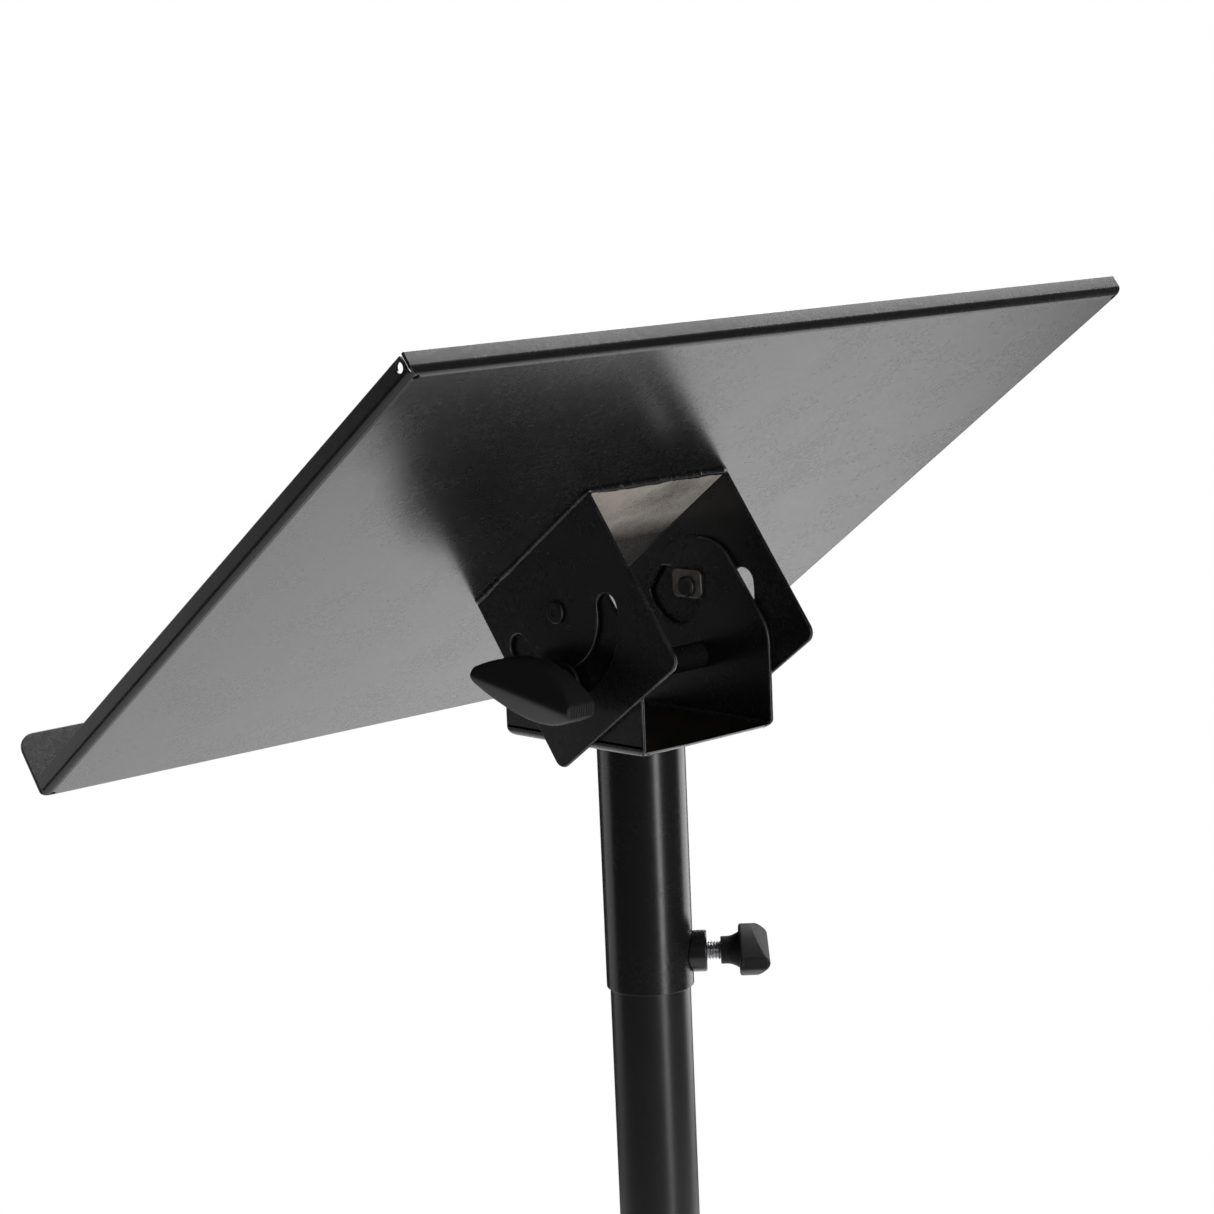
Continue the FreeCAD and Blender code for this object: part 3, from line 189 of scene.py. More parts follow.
@dataclass(frozen=True)
class EffectGroup:
    """A shader node group with named inputs and outputs, built once."""

    name: str
    inputs: dict[str, float]
    outputs: tuple[str, ...]
    build: Callable[[Wiring, bpy.types.Node, bpy.types.Node], None]

    def tree(self) -> bpy.types.NodeTree:
        """The group's tree, made the first time that it is asked for.

        Returns:
            The tree.
        """
        known = bpy.data.node_groups.get(self.name)
        if known:
            return known
        made = bpy.data.node_groups.new(self.name, "ShaderNodeTree")
        for name, value in self.inputs.items():
            socket = made.interface.new_socket(name, in_out="INPUT", socket_type="NodeSocketFloat")
            socket.default_value = value
        for name in self.outputs:
            made.interface.new_socket(name, in_out="OUTPUT", socket_type="NodeSocketFloat")
        wiring = Wiring(made)
        entry = made.nodes.new("NodeGroupInput")
        leave = made.nodes.new("NodeGroupOutput")
        self.build(wiring, entry, leave)
        return made

    def place(self, wiring: Wiring, **values: float) -> bpy.types.Node:
        """Put the group into a material with that material's own values.

        Args:
            wiring: the material's tree.
            values: a value for each input that differs, by name, with _ for a space.

        Returns:
            The node that holds the group.
        """
        node = wiring.tree.nodes.new("ShaderNodeGroup")
        node.node_tree = self.tree()
        for name, value in values.items():
            wiring.join(node, name.replace("_", " "), value)
        return node


def build_coat_relief(wiring: Wiring, entry: bpy.types.Node, leave: bpy.types.Node) -> None:
    """Orange peel and slow waviness of a sprayed coat, as a height in metres.

    Args:
        wiring: the group's tree.
        entry: the group's inputs.
        leave: the group's outputs.
    """
    where = wiring.own_place()
    peel = wiring.noise(where, entry.outputs["Peel Scale"], 0.0)
    wave = wiring.noise(where, entry.outputs["Wave Scale"], 1.0)
    height = wiring.maths("MULTIPLY", peel, entry.outputs["Peel Height"])
    slow = wiring.maths("MULTIPLY", wave, entry.outputs["Wave Height"])
    wiring.join(leave, "Height", wiring.maths("ADD", height, slow))
    wiring.join(leave, "Pattern", peel)


def build_edge_wear_and_highlight(wiring: Wiring, entry: bpy.types.Node, leave: bpy.types.Node) -> None:
    """Mask of patches along eased edges that are lightened: partly scuffing of the coat, partly a painted
    highlight along the edges.

    Args:
        wiring: the group's tree.
        entry: the group's inputs.
        leave: the group's outputs.
    """
    edge = wiring.add("ShaderNodeAttribute", {"attribute_name": EDGE_MASK}).outputs["Fac"]
    where = wiring.own_place()
    patches = wiring.noise(where, entry.outputs["Patch Scale"], 4.0, 0.65)
    whole_below, rubbed_above = 0.42, 0.68
    rubbed_and_highlit = wiring.remap(patches, whole_below, rubbed_above, 0.0, 1.0)
    # The patches on eased edges serve as scuffing and as painted edge highlight.
    mask = wiring.maths("MULTIPLY", edge, rubbed_and_highlit)
    wiring.join(leave, "Mask", wiring.maths("MULTIPLY", mask, entry.outputs["Amount"]))


def build_handling(wiring: Wiring, entry: bpy.types.Node, leave: bpy.types.Node) -> None:
    """Dust that settles on faces turned upwards, and smudges left by hands.

    Args:
        wiring: the group's tree.
        entry: the group's inputs.
        leave: the group's outputs.
    """
    where = wiring.own_place()
    facing = wiring.add("ShaderNodeNewGeometry").outputs["Normal"]
    upward = wiring.add("ShaderNodeSeparateXYZ", Vector=facing).outputs["Z"]
    steepest_dusty = 0.35
    lying = wiring.remap(upward, steepest_dusty, 1.0, 0.0, 1.0)
    specks = wiring.noise(where, entry.outputs["Speck Scale"], 3.0, 0.7)
    least_dust = 0.15
    settled = wiring.remap(specks, 0.5, 0.72, least_dust, 1.0)
    dust = wiring.maths("MULTIPLY", lying, settled)
    wiring.join(leave, "Dust", wiring.maths("MULTIPLY", dust, entry.outputs["Dust"]))
    smear = wiring.noise(where, entry.outputs["Smudge Scale"], 4.0, 0.6)
    centred = wiring.maths("SUBTRACT", smear, 0.5)
    wiring.join(leave, "Smudge", wiring.maths("MULTIPLY", centred, entry.outputs["Smudge"]))


def build_moulded_grain(wiring: Wiring, entry: bpy.types.Node, leave: bpy.types.Node) -> None:
    """Fine spark-eroded grain of a moulded surface, as a height in metres.

    Args:
        wiring: the group's tree.
        entry: the group's inputs.
        leave: the group's outputs.
    """
    where = wiring.own_place()
    cells = wiring.add("ShaderNodeTexVoronoi", Vector=where, Scale=entry.outputs["Grain Scale"])
    cloud = wiring.noise(where, entry.outputs["Grain Scale"], 3.0, 0.6)
    mixed = wiring.maths("ADD", cells.outputs["Distance"], cloud)
    wiring.join(leave, "Height", wiring.maths("MULTIPLY", mixed, entry.outputs["Grain Height"]))
    wiring.join(leave, "Pattern", cloud)


COAT_RELIEF = EffectGroup(
    "coat_relief",
    {"Peel Scale": 420.0, "Peel Height": 6e-6, "Wave Scale": 14.0, "Wave Height": 8e-5},
    ("Height", "Pattern"), build_coat_relief)
EDGE_WEAR_AND_HIGHLIGHT = EffectGroup("edge_wear_and_highlight", {"Patch Scale": 60.0, "Amount": 0.5}, ("Mask",),
                        build_edge_wear_and_highlight)
HANDLING = EffectGroup(
    "handling", {"Speck Scale": 900.0, "Dust": 0.03, "Smudge Scale": 26.0, "Smudge": 0.1},
    ("Dust", "Smudge"), build_handling)
MOULDED_GRAIN = EffectGroup("moulded_grain", {"Grain Scale": 2200.0, "Grain Height": 1.2e-5},
                            ("Height", "Pattern"), build_moulded_grain)


# ---------------------------------------------------------------- finishes
DUST_COLOUR: Colour = (0.42, 0.40, 0.37)
NOISE_SWING = (0.3, 0.7)


def with_alpha(colour: Colour) -> tuple[float, float, float, float]:
    """The colour with full opacity, as sockets want it."""
    return (*colour, 1.0)


def mixed(wiring: Wiring, share: object, first: object, second: object) -> bpy.types.NodeSocket:
    """Colour between two colours by a share from 0 to 1.

    Args:
        wiring: the material's tree.
        share: the share of the second colour.
        first: the first colour or its socket.
        second: the second colour or its socket.

    Returns:
        The mixed colour's socket.
    """
    node = wiring.tree.nodes.new("ShaderNodeMix")
    node.data_type = "RGBA"
    colour_inputs = [socket for socket in node.inputs if socket.type == "RGBA"]
    wiring.tree.links.new(share, node.inputs[0])
    for socket, value in zip(colour_inputs, (first, second)):
        if isinstance(value, bpy.types.NodeSocket):
            wiring.tree.links.new(value, socket)
        else:
            socket.default_value = with_alpha(value)
    return next(socket for socket in node.outputs if socket.type == "RGBA")


def new_material(name: str) -> tuple[bpy.types.Material, Wiring, bpy.types.Node]:
    """An empty material with its principled shader.

    Returns:
        The material, the wiring of its tree and the shader node.
    """
    material = bpy.data.materials.new(name)
    material.use_nodes = True
    wiring = Wiring(material.node_tree)
    shader = material.node_tree.nodes["Principled BSDF"]
    return material, wiring, shader


@dataclass(frozen=True)
class SprayedCoat:
    """Satin black coat on steel, with orange peel, dust, and eased edges lightened in patches: partly scuffing,
    partly painted highlight.
    """

    name: str
    colour: Colour = (0.0105, 0.0105, 0.0112)
    # Lighter grey on eased edges: scuffed coat and painted edge highlight.
    worn_and_highlight_colour: Colour = (0.11, 0.11, 0.112)
    roughness: float = 0.26
    mottle: float = 0.015
    peel_scale: float = 420.0
    peel_height: float = 2.2e-6
    wave_height: float = 9e-5
    wear_and_highlight: float = 0.35
    dust: float = 0.02
    smudge: float = 0.10

    def material(self) -> bpy.types.Material:
        """Build the finish.

        Returns:
            The new material.
        """
        material, wiring, shader = new_material(self.name)
        relief = COAT_RELIEF.place(wiring, Peel_Scale=self.peel_scale, Peel_Height=self.peel_height,
                                   Wave_Height=self.wave_height)
        wear_and_highlight = EDGE_WEAR_AND_HIGHLIGHT.place(wiring, Amount=self.wear_and_highlight).outputs["Mask"]
        handling = HANDLING.place(wiring, Dust=self.dust, Smudge=self.smudge)
        # Painted highlight: the eased edges are lightened towards grey in patches, partly for scuffed coat, partly
        # to stand in for edge highlights.
        rubbed_and_highlit = mixed(wiring, wear_and_highlight, self.colour, self.worn_and_highlight_colour)
        dusty = mixed(wiring, handling.outputs["Dust"], rubbed_and_highlit, DUST_COLOUR)
        wiring.join(shader, "Base Color", dusty)
        mottled = wiring.remap(relief.outputs["Pattern"], *NOISE_SWING,
                               self.roughness - self.mottle, self.roughness + self.mottle)
        smeared = wiring.maths("ADD", mottled, handling.outputs["Smudge"])
        wiring.join(shader, "Roughness", wiring.maths("ADD", smeared, handling.outputs["Dust"]))
        wiring.raise_surface(shader, relief.outputs["Height"])
        return material


@dataclass(frozen=True)
class ThinCoatAndReflection:
    """Glossy coat in a corner with specks of a paler colour mixed in: steel showing where the spray was thin, and
    in the bracket a painted reflection that grows towards the top.
    """

    name: str
    colour: Colour = (0.016, 0.014, 0.012)
    # Paler colour of the specks; this default, used in the bracket, is a painted reflection of the bright floor as
    # much as steel colour.
    steel_and_reflection_colour: Colour = (0.66, 0.60, 0.54)
    cover: float = 0.2
    roughness: float = 0.14
    # Heights between which the paler specks fade in, faint below and full above: painted reflection and steel
    # showing through.
    thick_coat_faint_reflection_below: float = 0.0
    thin_coat_full_reflection_above: float = 1.0 * MM
    least_bare_and_reflection: float = 0.12
    bare_and_reflection_from: float = 0.35
    bare_and_reflection_to: float = 0.95
    speck_scale: float = 1500.0
    cloud_scale: float = 45.0
    sag_scale: float = 700.0
    sag_height: float = 1.4e-5
    wave_height: float = 1.2e-4

    def material(self) -> bpy.types.Material:
        """Build the finish.

        Returns:
            The new material.
        """
        material, wiring, shader = new_material(self.name)
        relief = COAT_RELIEF.place(wiring, Peel_Scale=self.sag_scale,
                                   Peel_Height=self.sag_height, Wave_Height=self.wave_height)
        where = wiring.own_place()
        specks = wiring.noise(where, self.speck_scale, 3.0, 0.7)
        cloud = wiring.noise(where, self.cloud_scale, 3.0)
        height = wiring.add("ShaderNodeSeparateXYZ", Vector=where).outputs["Z"]
        # Painted reflection: the paler colour is mixed in by specks and, by height, mostly near the top; in the
        # bracket it stands for the floor seen in the glossy coat.
        worn_and_reflecting = wiring.remap(wiring.maths("ADD", specks, cloud), self.cover + self.bare_and_reflection_from,
                            self.cover + self.bare_and_reflection_to, 0.0, 1.0)
        bare_and_reflection_by_height = wiring.remap(height, self.thick_coat_faint_reflection_below, self.thin_coat_full_reflection_above, self.least_bare_and_reflection, 1.0)
        bare_steel_and_reflection = wiring.maths("MULTIPLY", worn_and_reflecting, bare_and_reflection_by_height)
        wiring.join(shader, "Base Color", mixed(wiring, bare_steel_and_reflection, self.colour, self.steel_and_reflection_colour))
        handling = HANDLING.place(wiring, Dust=0.0, Smudge=0.1)
        smeared = wiring.maths("ADD", handling.outputs["Smudge"], self.roughness)
        wiring.join(shader, "Roughness", smeared)
        wiring.raise_surface(shader, relief.outputs["Height"])
        return material


@dataclass(frozen=True)
class PlatedSteel:
    """Bare plated steel, with cloudy plating, fine scratches and darker hollows."""

    name: str
    colour: Colour
    dull_colour: Colour
    roughness: float
    cloud_scale: float = 240.0
    scratch_scale: float = 3200.0
    scratch_height: float = 1.5e-6

    def material(self) -> bpy.types.Material:
        """Build the finish.

        Returns:
            The new material.
        """
        material, wiring, shader = new_material(self.name)
        where = wiring.own_place()
        cloud = wiring.noise(where, self.cloud_scale, 4.0, 0.6)
        scratch = wiring.noise(where, self.scratch_scale, 2.0)
        handling = HANDLING.place(wiring, Dust=0.02, Smudge=0.16, Smudge_Scale=90.0)
        share = wiring.remap(cloud, 0.35, 0.7, 0.0, 1.0)
        plated = mixed(wiring, share, self.colour, self.dull_colour)
        dusty = mixed(wiring, handling.outputs["Dust"], plated, DUST_COLOUR)
        wiring.join(shader, "Base Color", dusty)
        cloudy = wiring.remap(cloud, *NOISE_SWING, self.roughness - 0.06, self.roughness + 0.08)
        wiring.join(shader, "Roughness", wiring.maths("ADD", cloudy, handling.outputs["Smudge"]))
        shader.inputs["Metallic"].default_value = 1.0
        wiring.raise_surface(shader, wiring.maths("MULTIPLY", scratch, self.scratch_height))
        return material


@dataclass(frozen=True)
class MouldedPart:
    """Moulded plastic or rubber, with fine grain, scuffed edges and a little dust."""

    name: str
    colour: Colour
    scuffed_colour: Colour
    roughness: float
    grain_scale: float
    grain_height: float
    specular: float = 0.5
    wear_and_highlight: float = 0.5
    dust: float = 0.03
    mottle: float = 0.05
    paler_share: float = 0.25

    def material(self) -> bpy.types.Material:
        """Build the finish.

        Returns:
            The new material.
        """
        material, wiring, shader = new_material(self.name)
        grain = MOULDED_GRAIN.place(wiring, Grain_Scale=self.grain_scale,
                                    Grain_Height=self.grain_height)
        wear_and_highlight = EDGE_WEAR_AND_HIGHLIGHT.place(wiring, Amount=self.wear_and_highlight, Patch_Scale=110.0).outputs["Mask"]
        handling = HANDLING.place(wiring, Dust=self.dust, Smudge=0.12, Smudge_Scale=60.0)
        tone = wiring.remap(grain.outputs["Pattern"], 0.35, 0.65, 0.0, self.paler_share)
        grained = mixed(wiring, tone, self.colour, self.scuffed_colour)
        scuffed = mixed(wiring, wear_and_highlight, grained, self.scuffed_colour)
        wiring.join(shader, "Base Color",
                    mixed(wiring, handling.outputs["Dust"], scuffed, DUST_COLOUR))
        rough = wiring.remap(grain.outputs["Pattern"], *NOISE_SWING,
                             self.roughness - self.mottle, self.roughness + self.mottle)
        wiring.join(shader, "Roughness", wiring.maths("ADD", rough, handling.outputs["Smudge"]))
        shader.inputs["Specular IOR Level"].default_value = self.specular
        wiring.raise_surface(shader, grain.outputs["Height"])
        return material


FINISHES = {
    Slot.POWDER_COAT: SprayedCoat("satin_powder_coat"),
    Slot.COATED_TUBE: SprayedCoat("satin_tube_coat", roughness=0.30, peel_scale=520.0,
                                  peel_height=3e-6, wave_height=3e-5),
    Slot.BLACKENED: SprayedCoat("coated_fastener", roughness=0.30, peel_height=2e-6, wear_and_highlight=0.5),
    Slot.SPACER: SprayedCoat("coated_spacer", roughness=0.28, peel_height=2e-6, wear_and_highlight=0.3),
    Slot.ZINC: PlatedSteel("zinc_plate", (0.60, 0.60, 0.61), (0.40, 0.40, 0.42), 0.32),
    Slot.NYLON: MouldedPart("moulded_nylon", (0.0200, 0.0200, 0.0215), (0.06, 0.06, 0.062), 0.54,
                            2600.0, 8e-6, specular=0.2),
    Slot.PLASTIC: MouldedPart("plain_plastic", (0.018, 0.018, 0.019), (0.06, 0.06, 0.06), 0.42,
                              1800.0, 4e-6),
    Slot.RUBBER: MouldedPart("black_rubber", (0.014, 0.014, 0.014), (0.07, 0.068, 0.064), 0.72,
                             1500.0, 2e-5, specular=0.3, dust=0.10),
}
YOKE_FLOOR = ThinCoatAndReflection("thin_coat_in_yoke", steel_and_reflection_colour=(0.05, 0.035, 0.025), cover=0.6,
                      roughness=0.3)
RIVET_PLATE = PlatedSteel("rivet_plate", (0.26, 0.25, 0.235), (0.14, 0.135, 0.13), 0.36)


# ---------------------------------------------------------------- mesh work
def mesh_from(surface: bmesh.types.BMesh, name: str) -> bpy.types.Mesh:
    """Turn a surface, which is used up, into mesh data.

    Args:
        surface: the mesh, which is freed.
        name: the new data's name.

    Returns:
        The mesh data.
    """
    mesh = bpy.data.meshes.new(name)
    surface.to_mesh(mesh)
    surface.free()
    return mesh


def stand_up(name: str, data: bpy.types.ID) -> bpy.types.Object:
    """Put a mesh, light or camera into the scene as an object.

    Args:
        name: the object's name.
        data: what the object shows.

    Returns:
        The object.
    """
    made = bpy.data.objects.new(name, data)
    bpy.context.scene.collection.objects.link(made)
    return made


def piece_from(surface: bmesh.types.BMesh, name: str, crease: float = 38.0) -> bpy.types.Object:
    """Turn a surface into a shaded object whose flat faces stay flat.

    Args:
        surface: the mesh, which is used up.
        name: the new piece's name.
        crease: edges that fold by more than this, in degrees, are shaded sharp.

    Returns:
        The object, in the scene.
    """
    bmesh.ops.recalc_face_normals(surface, faces=surface.faces)
    for face in surface.faces:
        face.smooth = True
    for edge in surface.edges:
        edge.smooth = not (edge.is_manifold and edge.calc_face_angle() > math.radians(crease))
    piece = stand_up(name, mesh_from(surface, name))
    weighted = piece.modifiers.new("flat_faces_stay_flat", "WEIGHTED_NORMAL")
    weighted.keep_sharp = True
    return piece


def cad_surface(node: str) -> bmesh.types.BMesh:
    """The surface of a CAD node, with its triangles joined into whole faces.

    Args:
        node: name of the node.

    Returns:
        The surface.
    """
    source = frame["nodes"][node].data
    surface = bmesh.new()
    verts = [surface.verts.new(vertex.co) for vertex in source.vertices]
    for polygon in source.polygons:
        surface.faces.new([verts[index] for index in polygon.vertices])
    bmesh.ops.remove_doubles(surface, verts=surface.verts, dist=SAME_POINT)
    bmesh.ops.dissolve_limit(surface, angle_limit=FLAT_ANGLE, verts=surface.verts,
                             edges=surface.edges)
    return surface


def ease_edges(surface: bmesh.types.BMesh, radius: float, steps: int) -> None:
    """Round the sharp outer edges of a surface and mark the new faces as eased.

    Args:
        surface: the mesh to change.
        radius: how far the rounding reaches into the faces.
        steps: faces across the rounding.
    """
    mask = surface.faces.layers.float.new(EDGE_MASK)
    sharp = [edge for edge in surface.edges
             if edge.is_manifold and edge.is_convex and edge.calc_face_angle() > SHARP_ANGLE]
    made = bmesh.ops.bevel(surface, geom=sharp, offset=radius, offset_type="OFFSET",
                           segments=steps, profile=0.5, affect="EDGES", clamp_overlap=False,
                           loop_slide=True)
    for face in made["faces"]:
        face[mask] = 1.0


def span(node: str, origin: Vector, direction: Vector) -> tuple[float, float]:
    """How far a CAD node reaches from a point along a direction, as lowest and highest."""
    reaches = [(vertex.co - origin).dot(direction) for vertex in frame["nodes"][node].data.vertices]
    return min(reaches), max(reaches)


def joint_line(name: str) -> tuple[Vector, Vector]:
    """A point on a joint's axis, and the axis's direction."""
    joint = next(joint for joint in frame["joints"] if joint["name"] == name)
    return Vector(joint["pos_m"]), Vector(joint["axis"]).normalized()


def ring_at(surface: bmesh.types.BMesh, along: float, radius: float, around: int) -> list:
    """Ring of points round the X axis, or a single point for a radius of 0.

    Args:
        surface: the mesh that gets the points.
        along: where on the axis the ring is.
        radius: the ring's radius.
        around: points round the ring.

    Returns:
        The new points.
    """
    if radius <= 0.0:
        return [surface.verts.new((along, 0.0, 0.0))]
    turns = [2 * math.pi * step / around for step in range(around)]
    return [surface.verts.new((along, radius * math.cos(turn), radius * math.sin(turn)))
            for turn in turns]


def bridge_rings(surface: bmesh.types.BMesh, rings: Sequence[list], looped: bool = False) -> None:
    """Join rings of points by faces, and close single points with a fan.

    Args:
        surface: the mesh that holds the points.
        rings: rings of the same number of points, or of one point.
        looped: true if the last ring joins the first.
    """
    pairs = list(zip(rings, rings[1:]))
    if looped:
        pairs.append((rings[-1], rings[0]))
    for first, last in pairs:
        count = max(len(first), len(last))
        for step in range(count):
            after = (step + 1) % count
            corners = [first[step % len(first)], first[after % len(first)],
                       last[after % len(last)], last[step % len(last)]]
            unique = list(dict.fromkeys(corners))
            if len(unique) > 2:
                surface.faces.new(unique)


def axis_place(origin: Vector, direction: Vector, turn: float = 0.0) -> Matrix:
    """Place of a piece built along X: its X axis goes along a direction and its Z stays up.

    Args:
        origin: where the piece's own origin goes.
        direction: unit vector for the piece's X axis.
        turn: turn about that axis, in degrees.

    Returns:
        The matrix from the piece's own frame to the model's frame.
    """
    side = Z_AXIS.cross(direction).normalized()
    up = direction.cross(side)
    basis = Matrix((direction, side, up)).transposed().to_4x4()
    return Matrix.Translation(origin) @ basis @ Matrix.Rotation(math.radians(turn), 4, "X")


def united(body: bpy.types.Object, other: bpy.types.Object) -> None:
    """Join a second closed mesh to a piece, and remove the second.

    Args:
        body: the piece that stays.
        other: the closed mesh to join to it.
    """
    join = body.modifiers.new("join", "BOOLEAN")
    join.operation = "UNION"
    join.solver = "EXACT"
    join.object = other
    bpy.context.view_layer.update()
    evaluated = body.evaluated_get(bpy.context.evaluated_depsgraph_get())
    mesh = bpy.data.meshes.new_from_object(evaluated)
    body.modifiers.remove(join)
    body.data = mesh
    bpy.data.objects.remove(other)


# ---------------------------------------------------------------- the workshop
class Workshop:
    """Gives each piece the finish of its record slot and its body, and reports it."""

    def __init__(self) -> None:
        """Build every finish once and read which body and slot each node has."""
        self.materials = {slot: finish.material() for slot, finish in FINISHES.items()}
        self.slots = {part["node"]: Slot(part["material_slot"])
                      for part in frame["record"]["subparts"]}
        self.bodies = {node: body for body, nodes in frame["record"]["behaviour"]["bodies"].items()
                       for node in nodes}

    def dress(self, piece: bpy.types.Object, slot: Slot) -> None:
        """Put a slot's finish on a piece in place of what it has."""
        piece.data.materials.clear()
        piece.data.materials.append(self.materials[slot])

    def keep_node(self, node: str) -> None:
        """Leave a CAD node as it is and give it its finish."""
        self.dress(frame["nodes"][node], self.slots[node])
        LOG.info("%s keeps its packed mesh", node)

    def place(self, piece: bpy.types.Object, *nodes: str) -> None:
        """Let a piece stand for CAD nodes on one body, with the finish of their slot.

        Args:
            piece: the finished piece.
            nodes: the nodes that it replaces.
        """
        slot = self.slots[nodes[0]]
        self.dress(piece, slot)
        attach(piece, self.bodies[nodes[0]])
        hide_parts(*nodes)
        LOG.info("%s stands for %s, %d faces", piece.name, ", ".join(nodes),
                 len(piece.data.polygons))

    def ease(self, node: str, radius: float, steps: int = 2) -> bpy.types.Object:
        """Replace a CAD node by the same shape with eased edges.

        Args:
            node: the node to replace.
            radius: how far the rounding reaches into the faces.
            steps: faces across the rounding.

        Returns:
            The new piece.
        """
        surface = cad_surface(node)
        ease_edges(surface, radius, steps)
        piece = piece_from(surface, f"{node}_finished")
        self.place(piece, node)
        return piece

    def face_finish(self, piece: bpy.types.Object, finish: ThinCoatAndReflection, facing: Vector,
                    half_width: float) -> None:
        """Give the faces inside a channel a finish of their own.

        Args:
            piece: the channel, which opens along the facing direction.
            finish: the finish for its inner faces.
            facing: direction that the inner faces point in.
            half_width: faces within this distance of the middle plane count as inside.
        """
        piece.data.materials.append(finish.material())
        last = len(piece.data.materials) - 1
        for polygon in piece.data.polygons:
            turned_in = polygon.normal.dot(facing) > INNER_FACE_COSINE
            if turned_in and abs(polygon.center.x) < half_width:
                polygon.material_index = last


# ---------------------------------------------------------------- welds
DRIFT_SCALE, SWELL_SCALE, ROUGH_SCALE, PIT_SCALE = 140, 95, 420, 900


@dataclass
class WeldBead:
    """A rippled bead laid along a path, a little uneven in width."""

    radius: float = 1.5 * MM
    ripple_pitch: float = 1.5 * MM
    ripple: float = 0.09
    unevenness: float = 0.42
    pitting: float = 0.06
    tail_start: float = 0.15
    around: int = 14
    step: float = 0.3 * MM

    def swelling(self, distance: float, seed: float) -> float:
        """Share by which the bead is thicker or thinner at a distance along it.

        Args:
            distance: distance from the start of the bead.
            seed: changes the unevenness from bead to bead.

        Returns:
            The factor for the bead's radius.
        """
        drift = 0.9 * noise.noise(Vector((distance * DRIFT_SCALE, seed, 0)))
        rippled = self.ripple * abs(math.sin(math.pi * (distance / self.ripple_pitch + drift)))
        uneven = self.unevenness * noise.noise(Vector((distance * SWELL_SCALE, 7.3, seed)))
        rough = self.unevenness * 0.35 * noise.noise(Vector((distance * ROUGH_SCALE, 2.9, seed)))
        return 1.0 + rippled + uneven + rough

    def run(self, place: Callable[[float], tuple[Vector, Vector, Vector]], length: float,
            closed: bool, seed: float) -> bmesh.types.BMesh:
        """Build one bead.

        Args:
            place: centre, outward and upward directions at a distance along the bead.
            length: the bead's length.
            closed: true for a ring.
            seed: changes the unevenness from bead to bead.

        Returns:
            The closed surface of the bead.
        """
        surface = bmesh.new()
        count = max(8, round(length / self.step))
        rings = []
        for index in range(count + (0 if closed else 1)):
            distance = length * index / count
            centre, outward, upward = place(distance)
            size = self.radius * self.swelling(distance, seed)
            if not closed:
                tail = min(distance, length - distance) / (2 * self.radius)
                size *= math.sqrt(min(1.0, self.tail_start + tail))
            ring = []
            for side in range(self.around):
                turn = 2 * math.pi * side / self.around
                pit = noise.noise(centre * PIT_SCALE + outward * side)
                reach = size * (1.0 + self.pitting * pit)
                sideways = outward * (reach * math.cos(turn))
                rising = upward * (reach * math.sin(turn))
                ring.append(surface.verts.new(centre + sideways + rising))
            rings.append(ring)
        bridge_rings(surface, rings, closed)
        if not closed:
            surface.faces.new(rings[0])
            surface.faces.new(rings[-1])
        return surface


# ---------------------------------------------------------------- tray
@dataclass
class Tray:
    """The folded sheet tray with the bracket welded under it."""

    coat_rounding: float = 0.35 * MM
    bracket_rounding: float = 0.8 * MM
    bead_inset: float = 0.7 * MM
    inner_width: float = 0.9
    # Rise above the pivot over which the bracket's painted reflection, shown as steel through a thin coat, fades
    # in.
    thick_coat_faint_reflection_rise: float = 22.0 * MM
    thin_coat_full_reflection_rise: float = 33.0 * MM

    def build(self, workshop: Workshop) -> None:
        """Build the pan, the bracket and its welds.

        Args:
            workshop: what dresses and reports the pieces.
        """
        face = next(mount for mount in frame["record"]["mounts"] if mount["name"] == "tray_face")
        self.outward = Vector(face["axis"]).normalized()
        workshop.ease("tray_pan", self.coat_rounding, 3)
        bracket = workshop.ease("tray_bracket", self.bracket_rounding, 3)
        half = span("tray_bracket", Vector(), X_AXIS)[1]
        pivot = joint_line("tray_tilt")[0].z
        # Painted reflection: the bracket's inner faces get pale specks, strongest above the pivot, standing in for
        # the bright floor reflected there.
        thin = ThinCoatAndReflection("thin_coat_and_painted_reflection_in_bracket", thick_coat_faint_reflection_below=pivot + self.thick_coat_faint_reflection_rise,
                        thin_coat_full_reflection_above=pivot + self.thin_coat_full_reflection_rise)
        workshop.face_finish(bracket, thin, -self.outward, half * self.inner_width)
        self.welds(workshop)

    def welds(self, workshop: Workshop) -> None:
        """Lay a bead along each long edge and along the top end of the bracket.

        Args:
            workshop: what dresses and reports the pieces.
        """
        slope = self.outward.cross(X_AXIS)
        origin = joint_line("tray_tilt")[0]
        low, high = span("tray_bracket", origin, slope)
        top = span("tray_bracket", origin, self.outward)[1] - self.bead_inset
        edge = span("tray_bracket", origin, X_AXIS)[1] - self.bead_inset
        level = origin + self.outward * top
        runs = [(level - X_AXIS * edge + slope * low, slope, -X_AXIS, high - low),
                (level + X_AXIS * edge + slope * low, slope, X_AXIS, high - low),
                (level - X_AXIS * edge + slope * high, X_AXIS, slope, 2 * edge)]
        bead = WeldBead()
        surface = bmesh.new()
        for seed, (start, along, across, length) in enumerate(runs):
            one = bead.run(lambda reach: (start + along * reach, across, self.outward), length,
                           False, seed + 1.0)
            mesh = mesh_from(one, "bead")
            surface.from_mesh(mesh)
            bpy.data.meshes.remove(mesh)
        workshop.place(piece_from(surface, "bracket_weld_beads_finished"), "bracket_weld_beads")


# ---------------------------------------------------------------- knobs and screws
TIP_SHARES = (0.25, 0.5, 0.72, 0.84, 0.92, 0.96, 0.985, 0.997, 1.0)


